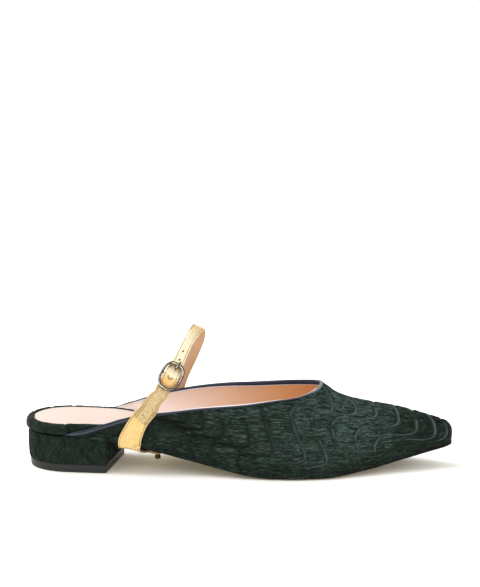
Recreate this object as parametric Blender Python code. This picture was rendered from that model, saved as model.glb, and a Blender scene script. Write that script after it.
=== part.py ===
"""Pointed backless mule with a buckled instep strap, right shoe.

The tables are in millimetres. X runs from the back of the heel to the toe, +Y is the
inner side of the foot and Z is up. The heel and the ball of the sole stand on Z = 0.
"""
import math

import bmesh
import bpy
import numpy as np

MM = 0.001
GAP = 0.3               # free space left between neighbouring pieces

# Named sizes
LENGTH = 260.4          # back of the heel seat to the toe
CENTRE_X = 130.64        # halfway along, becomes the part's origin
CENTRE_Y = 1.43          # halfway across, becomes the part's origin
HEEL_ROUND = 27.0       # how far the heel's back curve reaches
TOE_ROUND = 6.5         # how far the toe's nose curve reaches
NOSE_X = 253.5          # where the ridge of the vamp meets the nose
FAN_X = 222.0           # where the sections start to fan round the nose
THROAT_X = 180.5        # front of the opening
TAIL_X = 31.0           # back ends of the two wings
SOLE_T = 2.2            # outsole thickness
SOLE_PROUD = 0.4        # it stands out this far beyond the upper
SKEW_FADE = 45.0        # its back end is cut askew like the heel, fading out over this length
WALL_T = 2.2            # upper, calf hair and lining together
TAIL_T = 1.0            # upper skived down at the back ends of the wings
SEAT_Z = 23.3           # top of the heel block
LIFT_T = 5.0            # black top piece under the heel
BREAST_X = 51.3         # front face of the heel at its outer corner
BREAST_TILT = 7.0       # degrees, the inner corner lies further forward
STRAP_T = 1.0           # long strap
SHORT_T = 0.8           # short strap, skived to fold round the bar
LONG_OUT = 1.25         # the long strap lies this far outside the short one
LONG_END = 8.4          # width of the long strap's free end

# Outline of the last, one row per section:
# x, half width, centre line, underside of the sole, lower rim of the upper
SECTIONS = [
    (0.0, 25.0, 2.0, 21.1, 23.6),
    (27.0, 26.0, 0.4, 21.1, 23.6),
    (50.0, 25.6, -1.4, 20.0, 23.6),
    (58.0, 24.9, -1.9, 18.8, 23.6),
    (66.0, 24.3, -2.2, 17.1, 20.1),
    (77.0, 23.8, -2.4, 14.6, 17.1),
    (102.0, 25.6, -2.0, 8.6, 11.1),
    (127.0, 31.2, -0.6, 3.1, 5.6),
    (138.0, 33.9, 0.1, 1.0, 3.5),
    (152.0, 36.2, 0.9, 0.0, 2.5),
    (164.0, 37.0, 1.4, 0.0, 2.5),
    (182.0, 35.2, 2.6, 0.0, 2.5),
    (207.0, 27.2, 4.6, 2.6, 5.1),
    (232.0, 16.4, 5.6, 7.4, 9.9),
    (250.0, 8.4, 5.2, 11.2, 13.7),
    (261.0, 5.2, 5.0, 13.9, 16.4),
]

# Ridge of the last, one row per section:
# x, height, lower handle, outer swell, inner swell, upper handle
RIDGE = [
    (28.0, 60.0, 0.50, 2.0, 2.0, 0.90),
    (62.0, 63.0, 0.50, 7.0, 8.0, 0.90),
    (102.0, 65.0, 0.50, 9.0, 12.0, 0.88),
    (142.0, 60.0, 0.50, 7.0, 9.0, 0.80),
    (168.0, 55.0, 0.50, 5.0, 6.0, 0.66),
    (180.5, 51.5, 0.50, 4.5, 5.0, 0.60),
    (190.0, 44.9, 0.50, 4.0, 4.0, 0.58),
    (200.0, 41.4, 0.50, 4.0, 4.0, 0.58),
    (212.0, 39.0, 0.52, 3.5, 3.5, 0.60),
    (227.0, 36.4, 0.56, 3.5, 3.5, 0.62),
    (242.0, 32.6, 0.60, 3.0, 3.0, 0.64),
    (254.0, 28.7, 0.62, 3.0, 3.0, 0.66),
]

# Edge of the opening, one row per section:
# distance behind the throat, share of the section kept outside, share kept inside
EDGE = [
    (0.0, 1.000, 1.000),
    (2.0, 0.830, 0.840),
    (6.0, 0.740, 0.765),
    (14.0, 0.655, 0.685),
    (30.0, 0.578, 0.588),
    (60.0, 0.452, 0.482),
    (90.0, 0.342, 0.371),
    (110.0, 0.266, 0.252),
    (114.0, 0.243, 0.220),
    (122.0, 0.165, 0.137),
    (130.0, 0.120, 0.088),
    (142.0, 0.050, 0.045),
    (150.0, 0.020, 0.020),
]

# Top of the insole and its sock, one row per section: x, height
INSOLE = [
    (0.0, 29.2),
    (50.0, 29.2),
    (58.6, 28.6),
    (66.0, 27.5),
    (77.0, 24.6),
    (102.0, 16.6),
    (127.0, 9.6),
    (147.0, 5.8),
    (182.0, 5.4),
    (207.0, 7.0),
    (232.0, 10.8),
    (254.0, 16.2),
]

# Section of the outsole: share of its half width, share of its thickness
SOLE_SECTION = [(-1.0, 0.45), (-0.86, 0.0), (0.86, 0.0), (1.0, 0.45), (1.0, 1.0), (-1.0, 1.0)]

# Near leg of the strap, one row per station going up:
# x, y, z, width, forward lean and inward tilt in degrees
NEAR_LEG = [
    (66.1, -28.2, 19.5, 13.9, 8.0, -4.0),
    (68.8, -29.4, 27.5, 12.4, 18.0, -4.0),
    (72.8, -29.9, 34.5, 11.0, 27.0, 0.0),
    (78.1, -29.4, 40.8, 10.3, 30.0, 10.0),
    (81.4, -27.6, 46.4, 9.3, 30.0, 18.0),
]

# Straps away from the near leg, one row per station:
# x, y, z, width, then the direction of the strap's front edge
SHORT_UNDER = [
    (79.4, -1.5, 12.9, 9.0, 0.9, -0.4, -0.2),
    (76.6, -9.0, 13.1, 10.4, 0.85, -0.5, -0.2),
    (71.8, -18.0, 14.0, 12.4, 0.85, -0.5, -0.2),
    (67.6, -25.2, 15.4, 13.6, 0.93, -0.35, -0.18),
    (66.2, -27.9, 16.8, 13.8, 0.98, -0.15, -0.15),
]
LONG_OVER = [
    (98.0, -13.2, 74.2, 6.8, 0.87, -0.03, -0.48),
    (100.7, -9.1, 79.4, 6.7, 0.88, -0.06, -0.46),
    (103.6, -4.0, 83.6, 7.2, 0.89, -0.10, -0.43),
    (105.8, 2.8, 85.2, 8.0, 0.90, -0.15, -0.39),
    (105.8, 8.0, 82.4, 8.2, 0.90, -0.15, -0.41),
    (104.6, 12.4, 77.0, 8.4, 0.88, -0.12, -0.46),
    (102.0, 17.0, 69.9, 8.4, 0.88, -0.10, -0.46),
    (98.9, 21.0, 62.7, 8.4, 0.88, -0.08, -0.46),
    (92.7, 26.0, 48.8, 8.6, 0.90, -0.05, -0.43),
    (89.0, 27.0, 38.0, 9.0, 0.93, 0.0, -0.35),
    (86.0, 26.9, 27.5, 9.6, 0.96, 0.05, -0.25),
    (83.2, 25.0, 17.5, 10.0, 0.99, 0.1, -0.2),
    (82.4, 23.6, 13.6, 10.0, 1.0, 0.05, -0.24),
    (81.7, 20.4, 12.0, 10.0, 1.0, -0.05, -0.24),
    (80.6, 8.0, 11.3, 10.0, 1.0, -0.1, -0.22),
    (79.8, -3.0, 11.4, 9.8, 1.0, -0.1, -0.2),
    (79.0, -14.0, 11.3, 9.4, 1.0, -0.1, -0.2),
    (78.6, -18.0, 11.5, 9.0, 1.0, -0.1, -0.2),
]

# Straps round the buckle, one row per station:
# distance up the leg, distance outward from the frame's plane, width
SHORT_FOLD = [
    (-12.0, -2.9, 8.5),
    (-8.6, -2.9, 8.5),
    (-5.0, -2.3, 8.7),
    (-2.4, -0.8, 8.8),
    (-1.0, 0.15, 8.8),
    (0.3, 0.6, 8.8),
    (1.3, -0.5, 8.8),
    (0.9, -1.7, 8.8),
    (-0.6, -2.2, 8.8),
    (-3.0, -2.9, 8.8),
    (-6.0, -3.9, 8.8),
    (-10.0, -4.3, 8.8),
]
LONG_ARCH = [
    (-12.0, -1.65, 8.0),
    (-9.6, -1.7, 7.6),
    (-6.8, -1.7, 7.8),
    (-4.4, -0.6, 8.4),
    (-2.3, 0.9, 9.3),
    (0.0, 1.75, 9.5),
    (2.3, 0.9, 9.3),
    (4.4, -0.6, 8.4),
    (6.8, -1.75, 7.8),
    (9.6, -2.1, 7.3),
]
BUCKLE_AT = (91.2, -24.0, 60.4)     # middle of the frame
BUCKLE_LEAN = 29.8
BUCKLE_TILT = 23.7
FRAME_LONG = 8.2                    # frame's wire to its middle, along the strap
FRAME_WIDE = 6.1                    # and across it
FRAME_R = 0.75
FRAME_POWER = 0.72                  # below 1 squares the frame's corners
STRAP_SHIFT = -0.3                  # the straps pass the frame off its middle
BAR_N = -0.7                        # bar sits a little behind the frame
BAR_R = 0.6
PRONG = [(6.1, 0.2, 0.8), (7.2, 0.4, 1.45), (8.2, 0.6, 1.7), (9.2, 0.75, 1.65), (10.4, 0.9, 1.2)]
PRONG_R = 0.55
STUD_AT = (81.6, -12.5, 9.9)         # where the stud meets the strap under the waist
STUD_R = 1.8


def smooth(x, rows, k):
    """Column k of a table at x, by a curve that never overshoots its rows."""
    xs = np.array([r[0] for r in rows])
    ys = np.array([r[k] for r in rows])
    x = np.clip(np.asarray(x, float), xs[0], xs[-1])
    h = np.diff(xs)
    d = np.diff(ys) / h
    m = np.zeros(len(xs))
    m[0], m[-1] = d[0], d[-1]
    for i in range(1, len(xs) - 1):
        if d[i - 1] * d[i] > 0:
            a = 2 * h[i] + h[i - 1]
            b = h[i] + 2 * h[i - 1]
            m[i] = (a + b) / (a / d[i - 1] + b / d[i])
    i = np.clip(np.searchsorted(xs, x, side="right") - 1, 0, len(xs) - 2)
    t = (x - xs[i]) / h[i]
    start = ys[i] * (2 * t**3 - 3 * t**2 + 1) + h[i] * m[i] * (t**3 - 2 * t**2 + t)
    end = ys[i + 1] * (3 * t**2 - 2 * t**3) + h[i] * m[i + 1] * (t**3 - t**2)
    return start + end


def half_width(x):
    x = np.asarray(x, float)
    a = np.clip(1 - x / HEEL_ROUND, 0, 1)
    b = np.clip(1 - (LENGTH - x) / TOE_ROUND, 0, 1)
    return smooth(x, SECTIONS, 1) * (1 - a**2.3) ** (1 / 2.1) * np.sqrt(1 - b**2)


def centre(x):
    return smooth(x, SECTIONS, 2)


def ridge_x(x):
    """Where the section that starts at x on the rim reaches the ridge."""
    u = np.clip((np.asarray(x, float) - FAN_X) / (LENGTH - FAN_X), 0, 1)
    return x - (LENGTH - NOSE_X) * u**2


def edge_share(side, x):
    back = np.sqrt(np.clip(THROAT_X - np.asarray(x, float), 0, None))
    rows = [(math.sqrt(r[0]), r[1], r[2]) for r in EDGE]
    return smooth(back, rows, 1 if side < 0 else 2)


def last_point(side, x, t):
    """Outer surface of the upper: t runs from 0 at the rim to 1 on the ridge."""
    x, t = np.broadcast_arrays(np.asarray(x, float), np.asarray(t, float))
    rim = np.stack([x, centre(x) + side * half_width(x), smooth(x, SECTIONS, 4)], -1)
    rx = ridge_x(x)
    top = np.stack([rx, centre(rx), smooth(rx, RIDGE, 1)], -1)
    out = rim - top
    out[..., 2] = 0
    reach = np.linalg.norm(out, axis=-1, keepdims=True)
    out = out / np.maximum(reach, 1e-6)
    low = rim + out * smooth(rx, RIDGE, 3 if side < 0 else 4)[..., None]
    low[..., 2] += smooth(rx, RIDGE, 2) * (top[..., 2] - rim[..., 2])
    high = top + out * reach * smooth(rx, RIDGE, 5)[..., None]
    t = t[..., None]
    s = 1 - t
    return s**3 * rim + 3 * s**2 * t * low + 3 * s * t**2 * high + t**3 * top


# ---- meshes

def place(point):
    """Table millimetres to the part's own metres."""
    x, y, z = point
    return ((x - CENTRE_X) * MM, (y - CENTRE_Y) * MM, z * MM)


def finish(name, bm, colour, metallic, roughness):
    bmesh.ops.recalc_face_normals(bm, faces=bm.faces)
    mesh = bpy.data.meshes.new(name)
    bm.to_mesh(mesh)
    bm.free()
    obj = bpy.data.objects.new(name, mesh)
    bpy.context.scene.collection.objects.link(obj)
    mat = bpy.data.materials.new(name)
    mat.use_nodes = True
    shader = mat.node_tree.nodes["Principled BSDF"]
    shader.inputs["Base Color"].default_value = (*colour, 1.0)
    shader.inputs["Metallic"].default_value = metallic
    shader.inputs["Roughness"].default_value = roughness
    mesh.materials.append(mat)
    mesh.shade_smooth()
    mesh.set_sharp_from_angle(angle=math.radians(35))
    return obj


def loft(bm, rings, loop=False):
    """Skin rings of equal length; the two ends are capped unless the skin is a loop."""
    made = [[bm.verts.new(place(p)) for p in ring] for ring in rings]
    count = len(made[0])
    pairs = list(zip(made, made[1:]))
    if loop:
        pairs.append((made[-1], made[0]))
    for a, b in pairs:
        for i in range(count):
            j = (i + 1) % count
            bm.faces.new((a[i], a[j], b[j], b[i]))
    if not loop:
        bm.faces.new(made[0])
        bm.faces.new(made[-1])


def breast_x(y):
    """Front face of the heel, across the shoe."""
    return BREAST_X + (y + 26) * math.tan(math.radians(BREAST_TILT))


def wall(x):
    """Thickness of the upper, skived down towards the back of its wings."""
    return smooth(x, [(TAIL_X, TAIL_T), (62.0, WALL_T), (LENGTH, WALL_T)], 1)


def make_outsole():
    """Flat sheet, bent to the arch and the toe spring, butted against the heel."""
    bm = bmesh.new()
    rings = []
    back = BREAST_X + GAP
    front = LENGTH + 0.6
    stations = np.concatenate([
        np.linspace(back, 236.0, 44),
        front - (front - 236.0) * np.linspace(1, 0, 15)[1:-1] ** 2,
        [front - 0.03],
    ])
    for x in stations:
        w = float(half_width(x * LENGTH / front)) + SOLE_PROUD
        skew = max(0.0, 1 - (x - back) / SKEW_FADE)
        ring = []
        for share, level in SOLE_SECTION:
            y = float(centre(x)) + share * w
            at = x + skew * (breast_x(y) - BREAST_X)
            ring.append((at, y, float(smooth(at, SECTIONS, 3)) + level * SOLE_T))
        rings.append(ring)
    loft(bm, rings)
    return finish("outsole", bm, (0.02, 0.02, 0.02), 0.0, 0.6)


def heel_ring(z, back, inset):
    """Heel outline: round at the back, cut straight and askew at the front."""
    squeeze = 1 - inset / 26.0
    near = []
    far = []
    for side, points in ((-1, near), (1, far)):
        front = breast_x(float(centre(BREAST_X) + side * half_width(BREAST_X) * squeeze))
        for u in np.linspace(0, 1, 22) ** 1.8:
            x = back + (front - back) * u
            y = float(centre(x) + side * half_width(x - back) * squeeze)
            points.append((x, y, z))
    return near[::-1] + far[1:]


def make_heel():
    bm = bmesh.new()
    rings = [heel_ring(LIFT_T + GAP, 1.2, 1.2), heel_ring(14.0, 0.9, 1.0), heel_ring(SEAT_Z, 0.9, 1.0)]
    loft(bm, rings)
    return finish("heel_block", bm, (0.02, 0.05, 0.03), 0.0, 0.7)


def make_top_piece():
    bm = bmesh.new()
    loft(bm, [heel_ring(0.0, 1.8, 1.6), heel_ring(LIFT_T, 1.3, 1.2)])
    return finish("heel_top_piece", bm, (0.03, 0.03, 0.03), 0.0, 0.6)


def make_insole():
    """Thick wrapped edge over the heel, thin board inside the upper."""
    bm = bmesh.new()
    tip = 254.0
    stations = np.concatenate([
        [0.03],
        HEEL_ROUND * np.linspace(0, 1, 14)[1:] ** 2,
        np.linspace(27.6, 30.6, 4),
        np.linspace(34.0, 246.0, 40),
        tip - 8.0 * np.linspace(1, 0, 9)[1:-1] ** 2,
        [tip - 0.05],
    ])
    rings = []
    for x in stations:
        inside = (float(wall(x)) + GAP + 0.2) * min(1.0, max(0.0, (x - HEEL_ROUND) / 3.0))
        nose = math.sqrt(1 - max(0.0, 1 - (tip - x) / 6.0) ** 2)
        w = (float(half_width(x)) - inside) * nose
        y = float(centre(x))
        low = float(smooth(x, SECTIONS, 4))
        top = float(smooth(x, INSOLE, 1))
        edge = min(0.7, w * 0.4)
        rings.append([
            (x, y - w, low),
            (x, y + w, low),
            (x, y + w, top - edge),
            (x, y + w - edge, top),
            (x, y - w + edge, top),
            (x, y - w, top - edge),
        ])
    loft(bm, rings)
    return finish("insole", bm, (0.8, 0.6, 0.5), 0.0, 0.5)


def make_upper():
    """One hollow shell: the outer skin, the same skin moved inward, and the rim between."""
    bm = bmesh.new()
    columns = 12
    stations = np.concatenate([
        np.linspace(TAIL_X, THROAT_X - 14, 26),
        THROAT_X - 14 * np.linspace(1, 0, 9)[1:] ** 2,
        np.linspace(THROAT_X, 236, 13)[1:],
        LENGTH - (LENGTH - 236) * np.linspace(1, 0, 15)[1:] ** 2,
    ])
    grids = {}
    for side in (-1, 1):
        grid = []
        for i, x in enumerate(stations):
            share = 1.0 if x >= THROAT_X - 1e-6 else float(edge_share(side, x))
            points = last_point(side, x, share * np.linspace(0, 1, columns + 1))
            row = [bm.verts.new(tuple(p)) for p in points]
            grid.append(row)
        grids[side] = grid
    for side in (-1, 1):
        grid = grids[side]
        for a, b in zip(grid, grid[1:]):
            for j in range(columns):
                face = (a[j], b[j], b[j + 1], a[j + 1])
                bm.faces.new(face if side < 0 else face[::-1])
    bmesh.ops.remove_doubles(bm, verts=bm.verts, dist=0.01)
    bm.normal_update()
    outer = list(bm.verts)
    inner = {}
    for v in outer:
        depth = float(wall(v.co.x))
        spot = v.co - v.normal * depth
        on_rim = abs(v.co.z - float(smooth(v.co.x, SECTIONS, 4))) < 1e-3
        if on_rim:
            flat = v.normal.copy()
            flat.z = 0
            spot = v.co - flat.normalized() * depth
        inner[v] = bm.verts.new(spot)
    skin = list(bm.faces)
    border = [e for e in bm.edges if e.is_boundary]
    for f in skin:
        bm.faces.new([inner[v] for v in reversed(f.verts)])
    for e in border:
        a, b = e.verts
        bm.faces.new((a, b, inner[b], inner[a]))
    for v in bm.verts:
        v.co = place(v.co)
    return finish("upper", bm, (0.02, 0.06, 0.035), 0.0, 0.8)


def leg_axes(lean, tilt):
    """Up the leg, across it towards its front edge, and outward."""
    a = math.radians(lean)
    b = math.radians(tilt)
    up = np.array([math.sin(a) * math.cos(b), math.sin(b), math.cos(a) * math.cos(b)])
    across = np.array([math.cos(a), 0.0, -math.sin(a)])
    return up, across, np.cross(across, up)


def near_leg(offset, first=0, width=None):
    """Rows along the near leg, moved outward by an offset."""
    rows = []
    for x, y, z, wide, lean, tilt in NEAR_LEG[first:]:
        _, across, outward = leg_axes(lean, tilt)
        spot = np.array([x, y, z]) + outward * offset
        rows.append((*spot, width or wide, *across))
    return rows


def round_buckle(rows):
    """Rows given in the buckle's own axes, moved to where the buckle sits."""
    up, across, outward = leg_axes(BUCKLE_LEAN, BUCKLE_TILT)
    made = []
    for s, n, width in rows:
        spot = np.array(BUCKLE_AT) + up * s + across * STRAP_SHIFT + outward * n
        made.append((*spot, width, *across))
    return made


def curve(rows, step):
    """Smooth curve through the rows, every column carried along."""
    rows = np.array(rows, float)
    gaps = np.linalg.norm(np.diff(rows[:, :3], axis=0), axis=1)
    at = np.concatenate([[0], np.cumsum(gaps)])
    slope = np.diff(rows, axis=0) / gaps[:, None]
    lean = np.empty_like(rows)
    lean[0], lean[-1] = slope[0], slope[-1]
    share = (gaps[1:] / (gaps[1:] + gaps[:-1]))[:, None]
    lean[1:-1] = slope[:-1] * share + slope[1:] * (1 - share)
    made = []
    for i, gap in enumerate(gaps):
        for u in np.arange(0, 1, 1 / max(1, round(gap / step))):
            h0 = 2 * u**3 - 3 * u**2 + 1
            h1 = u**3 - 2 * u**2 + u
            h2 = 3 * u**2 - 2 * u**3
            h3 = u**3 - u**2
            made.append(rows[i] * h0 + lean[i] * gap * h1 + rows[i + 1] * h2 + lean[i + 1] * gap * h3)
    made.append(rows[-1])
    return np.array(made)


def ribbon(bm, rows, thick, step):
    """Flat strap along a curve."""
    line = curve(rows, step)
    run = np.gradient(line[:, :3], axis=0)
    run /= np.linalg.norm(run, axis=1)[:, None]
    rings = []
    for spot, width, across, along in zip(line[:, :3], line[:, 3], line[:, 4:], run):
        across = across - along * np.dot(across, along)
        across /= np.linalg.norm(across)
        outward = np.cross(across, along)
        a = across * width / 2
        n = outward * thick / 2
        rings.append([spot - a - n, spot + a - n, spot + a + n, spot - a + n])
    loft(bm, rings)


def make_short_strap():
    bm = bmesh.new()
    rows = SHORT_UNDER + near_leg(0.0) + round_buckle(SHORT_FOLD)
    ribbon(bm, rows, SHORT_T, 1.2)
    return finish("strap_short", bm, (0.8, 0.6, 0.25), 0.6, 0.4)


def make_long_strap():
    bm = bmesh.new()
    rows = near_leg(LONG_OUT, 2, LONG_END) + round_buckle(LONG_ARCH) + LONG_OVER
    ribbon(bm, rows, STRAP_T, 2.4)
    return finish("strap_long", bm, (0.8, 0.6, 0.25), 0.6, 0.4)


def tube(bm, points, radius, sides, loop=False):
    """Round wire along points given in the buckle's axes: up, across, outward."""
    axes = np.array(leg_axes(BUCKLE_LEAN, BUCKLE_TILT))
    points = np.array(points, float)
    count = len(points)
    rings = []
    for i, p in enumerate(points):
        a = points[(i - 1) % count] if loop else points[max(i - 1, 0)]
        b = points[(i + 1) % count] if loop else points[min(i + 1, count - 1)]
        along = (b - a) / np.linalg.norm(b - a)
        side = np.cross(along, (0.0, 0.0, 1.0))
        side /= np.linalg.norm(side)
        third = np.cross(side, along)
        ring = []
        for k in range(sides):
            w = 2 * math.pi * (k + 0.5) / sides
            local = p + (side * math.cos(w) + third * math.sin(w)) * radius
            ring.append(np.array(BUCKLE_AT) + local @ axes)
        rings.append(ring)
    loft(bm, rings, loop)


def make_buckle():
    """Oval wire frame with a bar across its middle, joined into one solid."""
    bm = bmesh.new()
    frame = []
    for k in range(40):
        w = 2 * math.pi * k / 40
        c, s = math.cos(w), math.sin(w)
        frame.append((
            FRAME_LONG * math.copysign(abs(c) ** FRAME_POWER, c),
            FRAME_WIDE * math.copysign(abs(s) ** FRAME_POWER, s),
            0.0,
        ))
    tube(bm, frame, FRAME_R, 10, loop=True)
    buckle = finish("buckle", bm, (0.75, 0.74, 0.7), 1.0, 0.15)
    bm = bmesh.new()
    tube(bm, [(0.0, -FRAME_WIDE, BAR_N), (0.0, FRAME_WIDE, BAR_N)], BAR_R, 10)
    bar = finish("bar", bm, (0.75, 0.74, 0.7), 1.0, 0.15)
    join = buckle.modifiers.new("join", "BOOLEAN")
    join.operation = "UNION"
    join.solver = "EXACT"
    join.object = bar
    evaluated = bpy.context.evaluated_depsgraph_get()
    solid = bpy.data.meshes.new_from_object(buckle.evaluated_get(evaluated))
    buckle.modifiers.clear()
    buckle.data = solid
    bpy.data.objects.remove(bar)
    return buckle


def make_prong():
    """Prong from the strap's hole over the far end of the frame."""
    bm = bmesh.new()
    tube(bm, PRONG, PRONG_R, 8)
    return finish("buckle_prong", bm, (0.75, 0.74, 0.7), 1.0, 0.15)


def make_stud():
    """Turned stud: washer, neck and ball, hanging under the waist."""
    bm = bmesh.new()
    profile = [(2.2, 0.0), (2.2, -0.4), (1.0, -0.5), (0.9, -0.6)]
    for k in range(1, 7):
        w = math.radians(30 + 145 * k / 6)
        profile.append((STUD_R * math.sin(w), -2.2 + STUD_R * math.cos(w)))
    rings = []
    for r, drop in profile:
        ring = []
        for k in range(16):
            w = 2 * math.pi * k / 16
            ring.append((STUD_AT[0] + r * math.cos(w), STUD_AT[1] + r * math.sin(w), STUD_AT[2] + drop))
        rings.append(ring)
    loft(bm, rings)
    return finish("strap_stud", bm, (0.75, 0.6, 0.35), 1.0, 0.3)


for old in list(bpy.data.objects):
    bpy.data.objects.remove(old)

make_outsole()
make_heel()
make_top_piece()
make_insole()
make_upper()
make_short_strap()
make_long_strap()
make_buckle()
make_prong()
make_stud()
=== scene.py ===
import math
from collections import namedtuple

import bpy
import numpy as np
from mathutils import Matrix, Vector, noise
from mathutils.kdtree import KDTree


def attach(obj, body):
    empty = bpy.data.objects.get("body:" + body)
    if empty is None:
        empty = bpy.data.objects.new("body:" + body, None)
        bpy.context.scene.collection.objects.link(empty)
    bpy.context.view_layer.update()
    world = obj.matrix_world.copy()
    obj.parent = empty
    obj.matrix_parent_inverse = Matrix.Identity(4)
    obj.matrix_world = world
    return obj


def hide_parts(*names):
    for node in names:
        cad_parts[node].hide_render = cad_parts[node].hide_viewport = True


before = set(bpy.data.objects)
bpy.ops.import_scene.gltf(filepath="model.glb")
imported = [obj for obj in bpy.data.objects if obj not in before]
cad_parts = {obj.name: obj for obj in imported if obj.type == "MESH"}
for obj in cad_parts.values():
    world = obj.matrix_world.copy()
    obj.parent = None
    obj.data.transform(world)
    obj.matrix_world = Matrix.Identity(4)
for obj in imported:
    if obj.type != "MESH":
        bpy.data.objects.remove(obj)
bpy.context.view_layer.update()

# Everything below is in millimetres, with X from the back of the heel to the toe, +Y to
# the inner side and Z up. to_metres() moves it to the frame's own origin.
MM = 0.001
GAP = 0.3                   # left between neighbouring parts

# ---- named sizes of the shoe, the same as the frame's

LENGTH = 260.4
CENTRE_X = 130.64
CENTRE_Y = 1.43
HEEL_ROUND = 27.0
POWER_X = 2.3               # how square the heel's round is, along the shoe and across it
POWER_Y = 2.1
TOE_ROUND = 6.5
NOSE_X = 253.5
FAN_X = 222.0
THROAT_X = 180.5
TAIL_X = 31.0
SOLE_T = 2.2
WALL_T = 2.2
TAIL_T = 1.0
SEAT_Z = 23.3
LIFT_T = 5.0
BREAST_X = 51.3
BREAST_TILT = 7.0
STRAP_T = 1.0
SHORT_T = 0.8
LONG_OUT = 1.25             # the long strap starts this far outside the short one
LONG_END = 8.4              # and is this wide there
SOCK_TIP = 254.0
SOLE_PROUD = 0.4            # the sole stands out this far all round
SKEW_FADE = 45.0            # its slanted back end squares up over this length

# x, half width, centre line, underside of the sole, lower rim of the upper
HALF, CENTRE, UNDER, RIM = 1, 2, 3, 4
SECTIONS = [
    (0.0, 25.0, 2.0, 21.1, 23.6),
    (27.0, 26.0, 0.4, 21.1, 23.6),
    (50.0, 25.6, -1.4, 20.0, 23.6),
    (58.0, 24.9, -1.9, 18.8, 23.6),
    (66.0, 24.3, -2.2, 17.1, 20.1),
    (77.0, 23.8, -2.4, 14.6, 17.1),
    (102.0, 25.6, -2.0, 8.6, 11.1),
    (127.0, 31.2, -0.6, 3.1, 5.6),
    (138.0, 33.9, 0.1, 1.0, 3.5),
    (152.0, 36.2, 0.9, 0.0, 2.5),
    (164.0, 37.0, 1.4, 0.0, 2.5),
    (182.0, 35.2, 2.6, 0.0, 2.5),
    (207.0, 27.2, 4.6, 2.6, 5.1),
    (232.0, 16.4, 5.6, 7.4, 9.9),
    (250.0, 8.4, 5.2, 11.2, 13.7),
    (261.0, 5.2, 5.0, 13.9, 16.4),
]

# x, height of the ridge, lower handle, outer swell, inner swell, upper handle
TOP, LOW_HANDLE, OUTER_SWELL, INNER_SWELL, HIGH_HANDLE = 1, 2, 3, 4, 5
RIDGE = [
    (28.0, 60.0, 0.50, 2.0, 2.0, 0.90),
    (62.0, 63.0, 0.50, 7.0, 8.0, 0.90),
    (102.0, 65.0, 0.50, 9.0, 12.0, 0.88),
    (142.0, 60.0, 0.50, 7.0, 9.0, 0.80),
    (168.0, 55.0, 0.50, 5.0, 6.0, 0.66),
    (180.5, 51.5, 0.50, 4.5, 5.0, 0.60),
    (190.0, 44.9, 0.50, 4.0, 4.0, 0.58),
    (200.0, 41.4, 0.50, 4.0, 4.0, 0.58),
    (212.0, 39.0, 0.52, 3.5, 3.5, 0.60),
    (227.0, 36.4, 0.56, 3.5, 3.5, 0.62),
    (242.0, 32.6, 0.60, 3.0, 3.0, 0.64),
    (254.0, 28.7, 0.62, 3.0, 3.0, 0.66),
]

# distance behind the throat, share of the section kept on the outer side, and on the inner side
EDGE = [
    (0.0, 1.000, 1.000),
    (2.0, 0.830, 0.840),
    (6.0, 0.740, 0.765),
    (14.0, 0.655, 0.685),
    (30.0, 0.578, 0.588),
    (60.0, 0.452, 0.482),
    (90.0, 0.342, 0.371),
    (110.0, 0.266, 0.252),
    (114.0, 0.243, 0.220),
    (122.0, 0.165, 0.137),
    (130.0, 0.120, 0.088),
    (142.0, 0.050, 0.045),
    (150.0, 0.020, 0.020),
]

# x, top of the sock
INSOLE = [
    (0.0, 29.2),
    (50.0, 29.2),
    (58.6, 28.6),
    (66.0, 27.5),
    (77.0, 24.6),
    (102.0, 16.6),
    (127.0, 9.6),
    (147.0, 5.8),
    (182.0, 5.4),
    (207.0, 7.0),
    (232.0, 10.8),
    (254.0, 16.2),
]

# x, y, z, width, forward lean and inward tilt in degrees
NEAR_LEG = [
    (66.1, -28.2, 19.5, 13.9, 8.0, -4.0),
    (68.8, -29.4, 27.5, 12.4, 18.0, -4.0),
    (72.8, -29.9, 34.5, 11.0, 27.0, 0.0),
    (78.1, -29.4, 40.8, 10.3, 30.0, 10.0),
    (81.4, -27.6, 46.4, 9.3, 30.0, 18.0),
]

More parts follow.
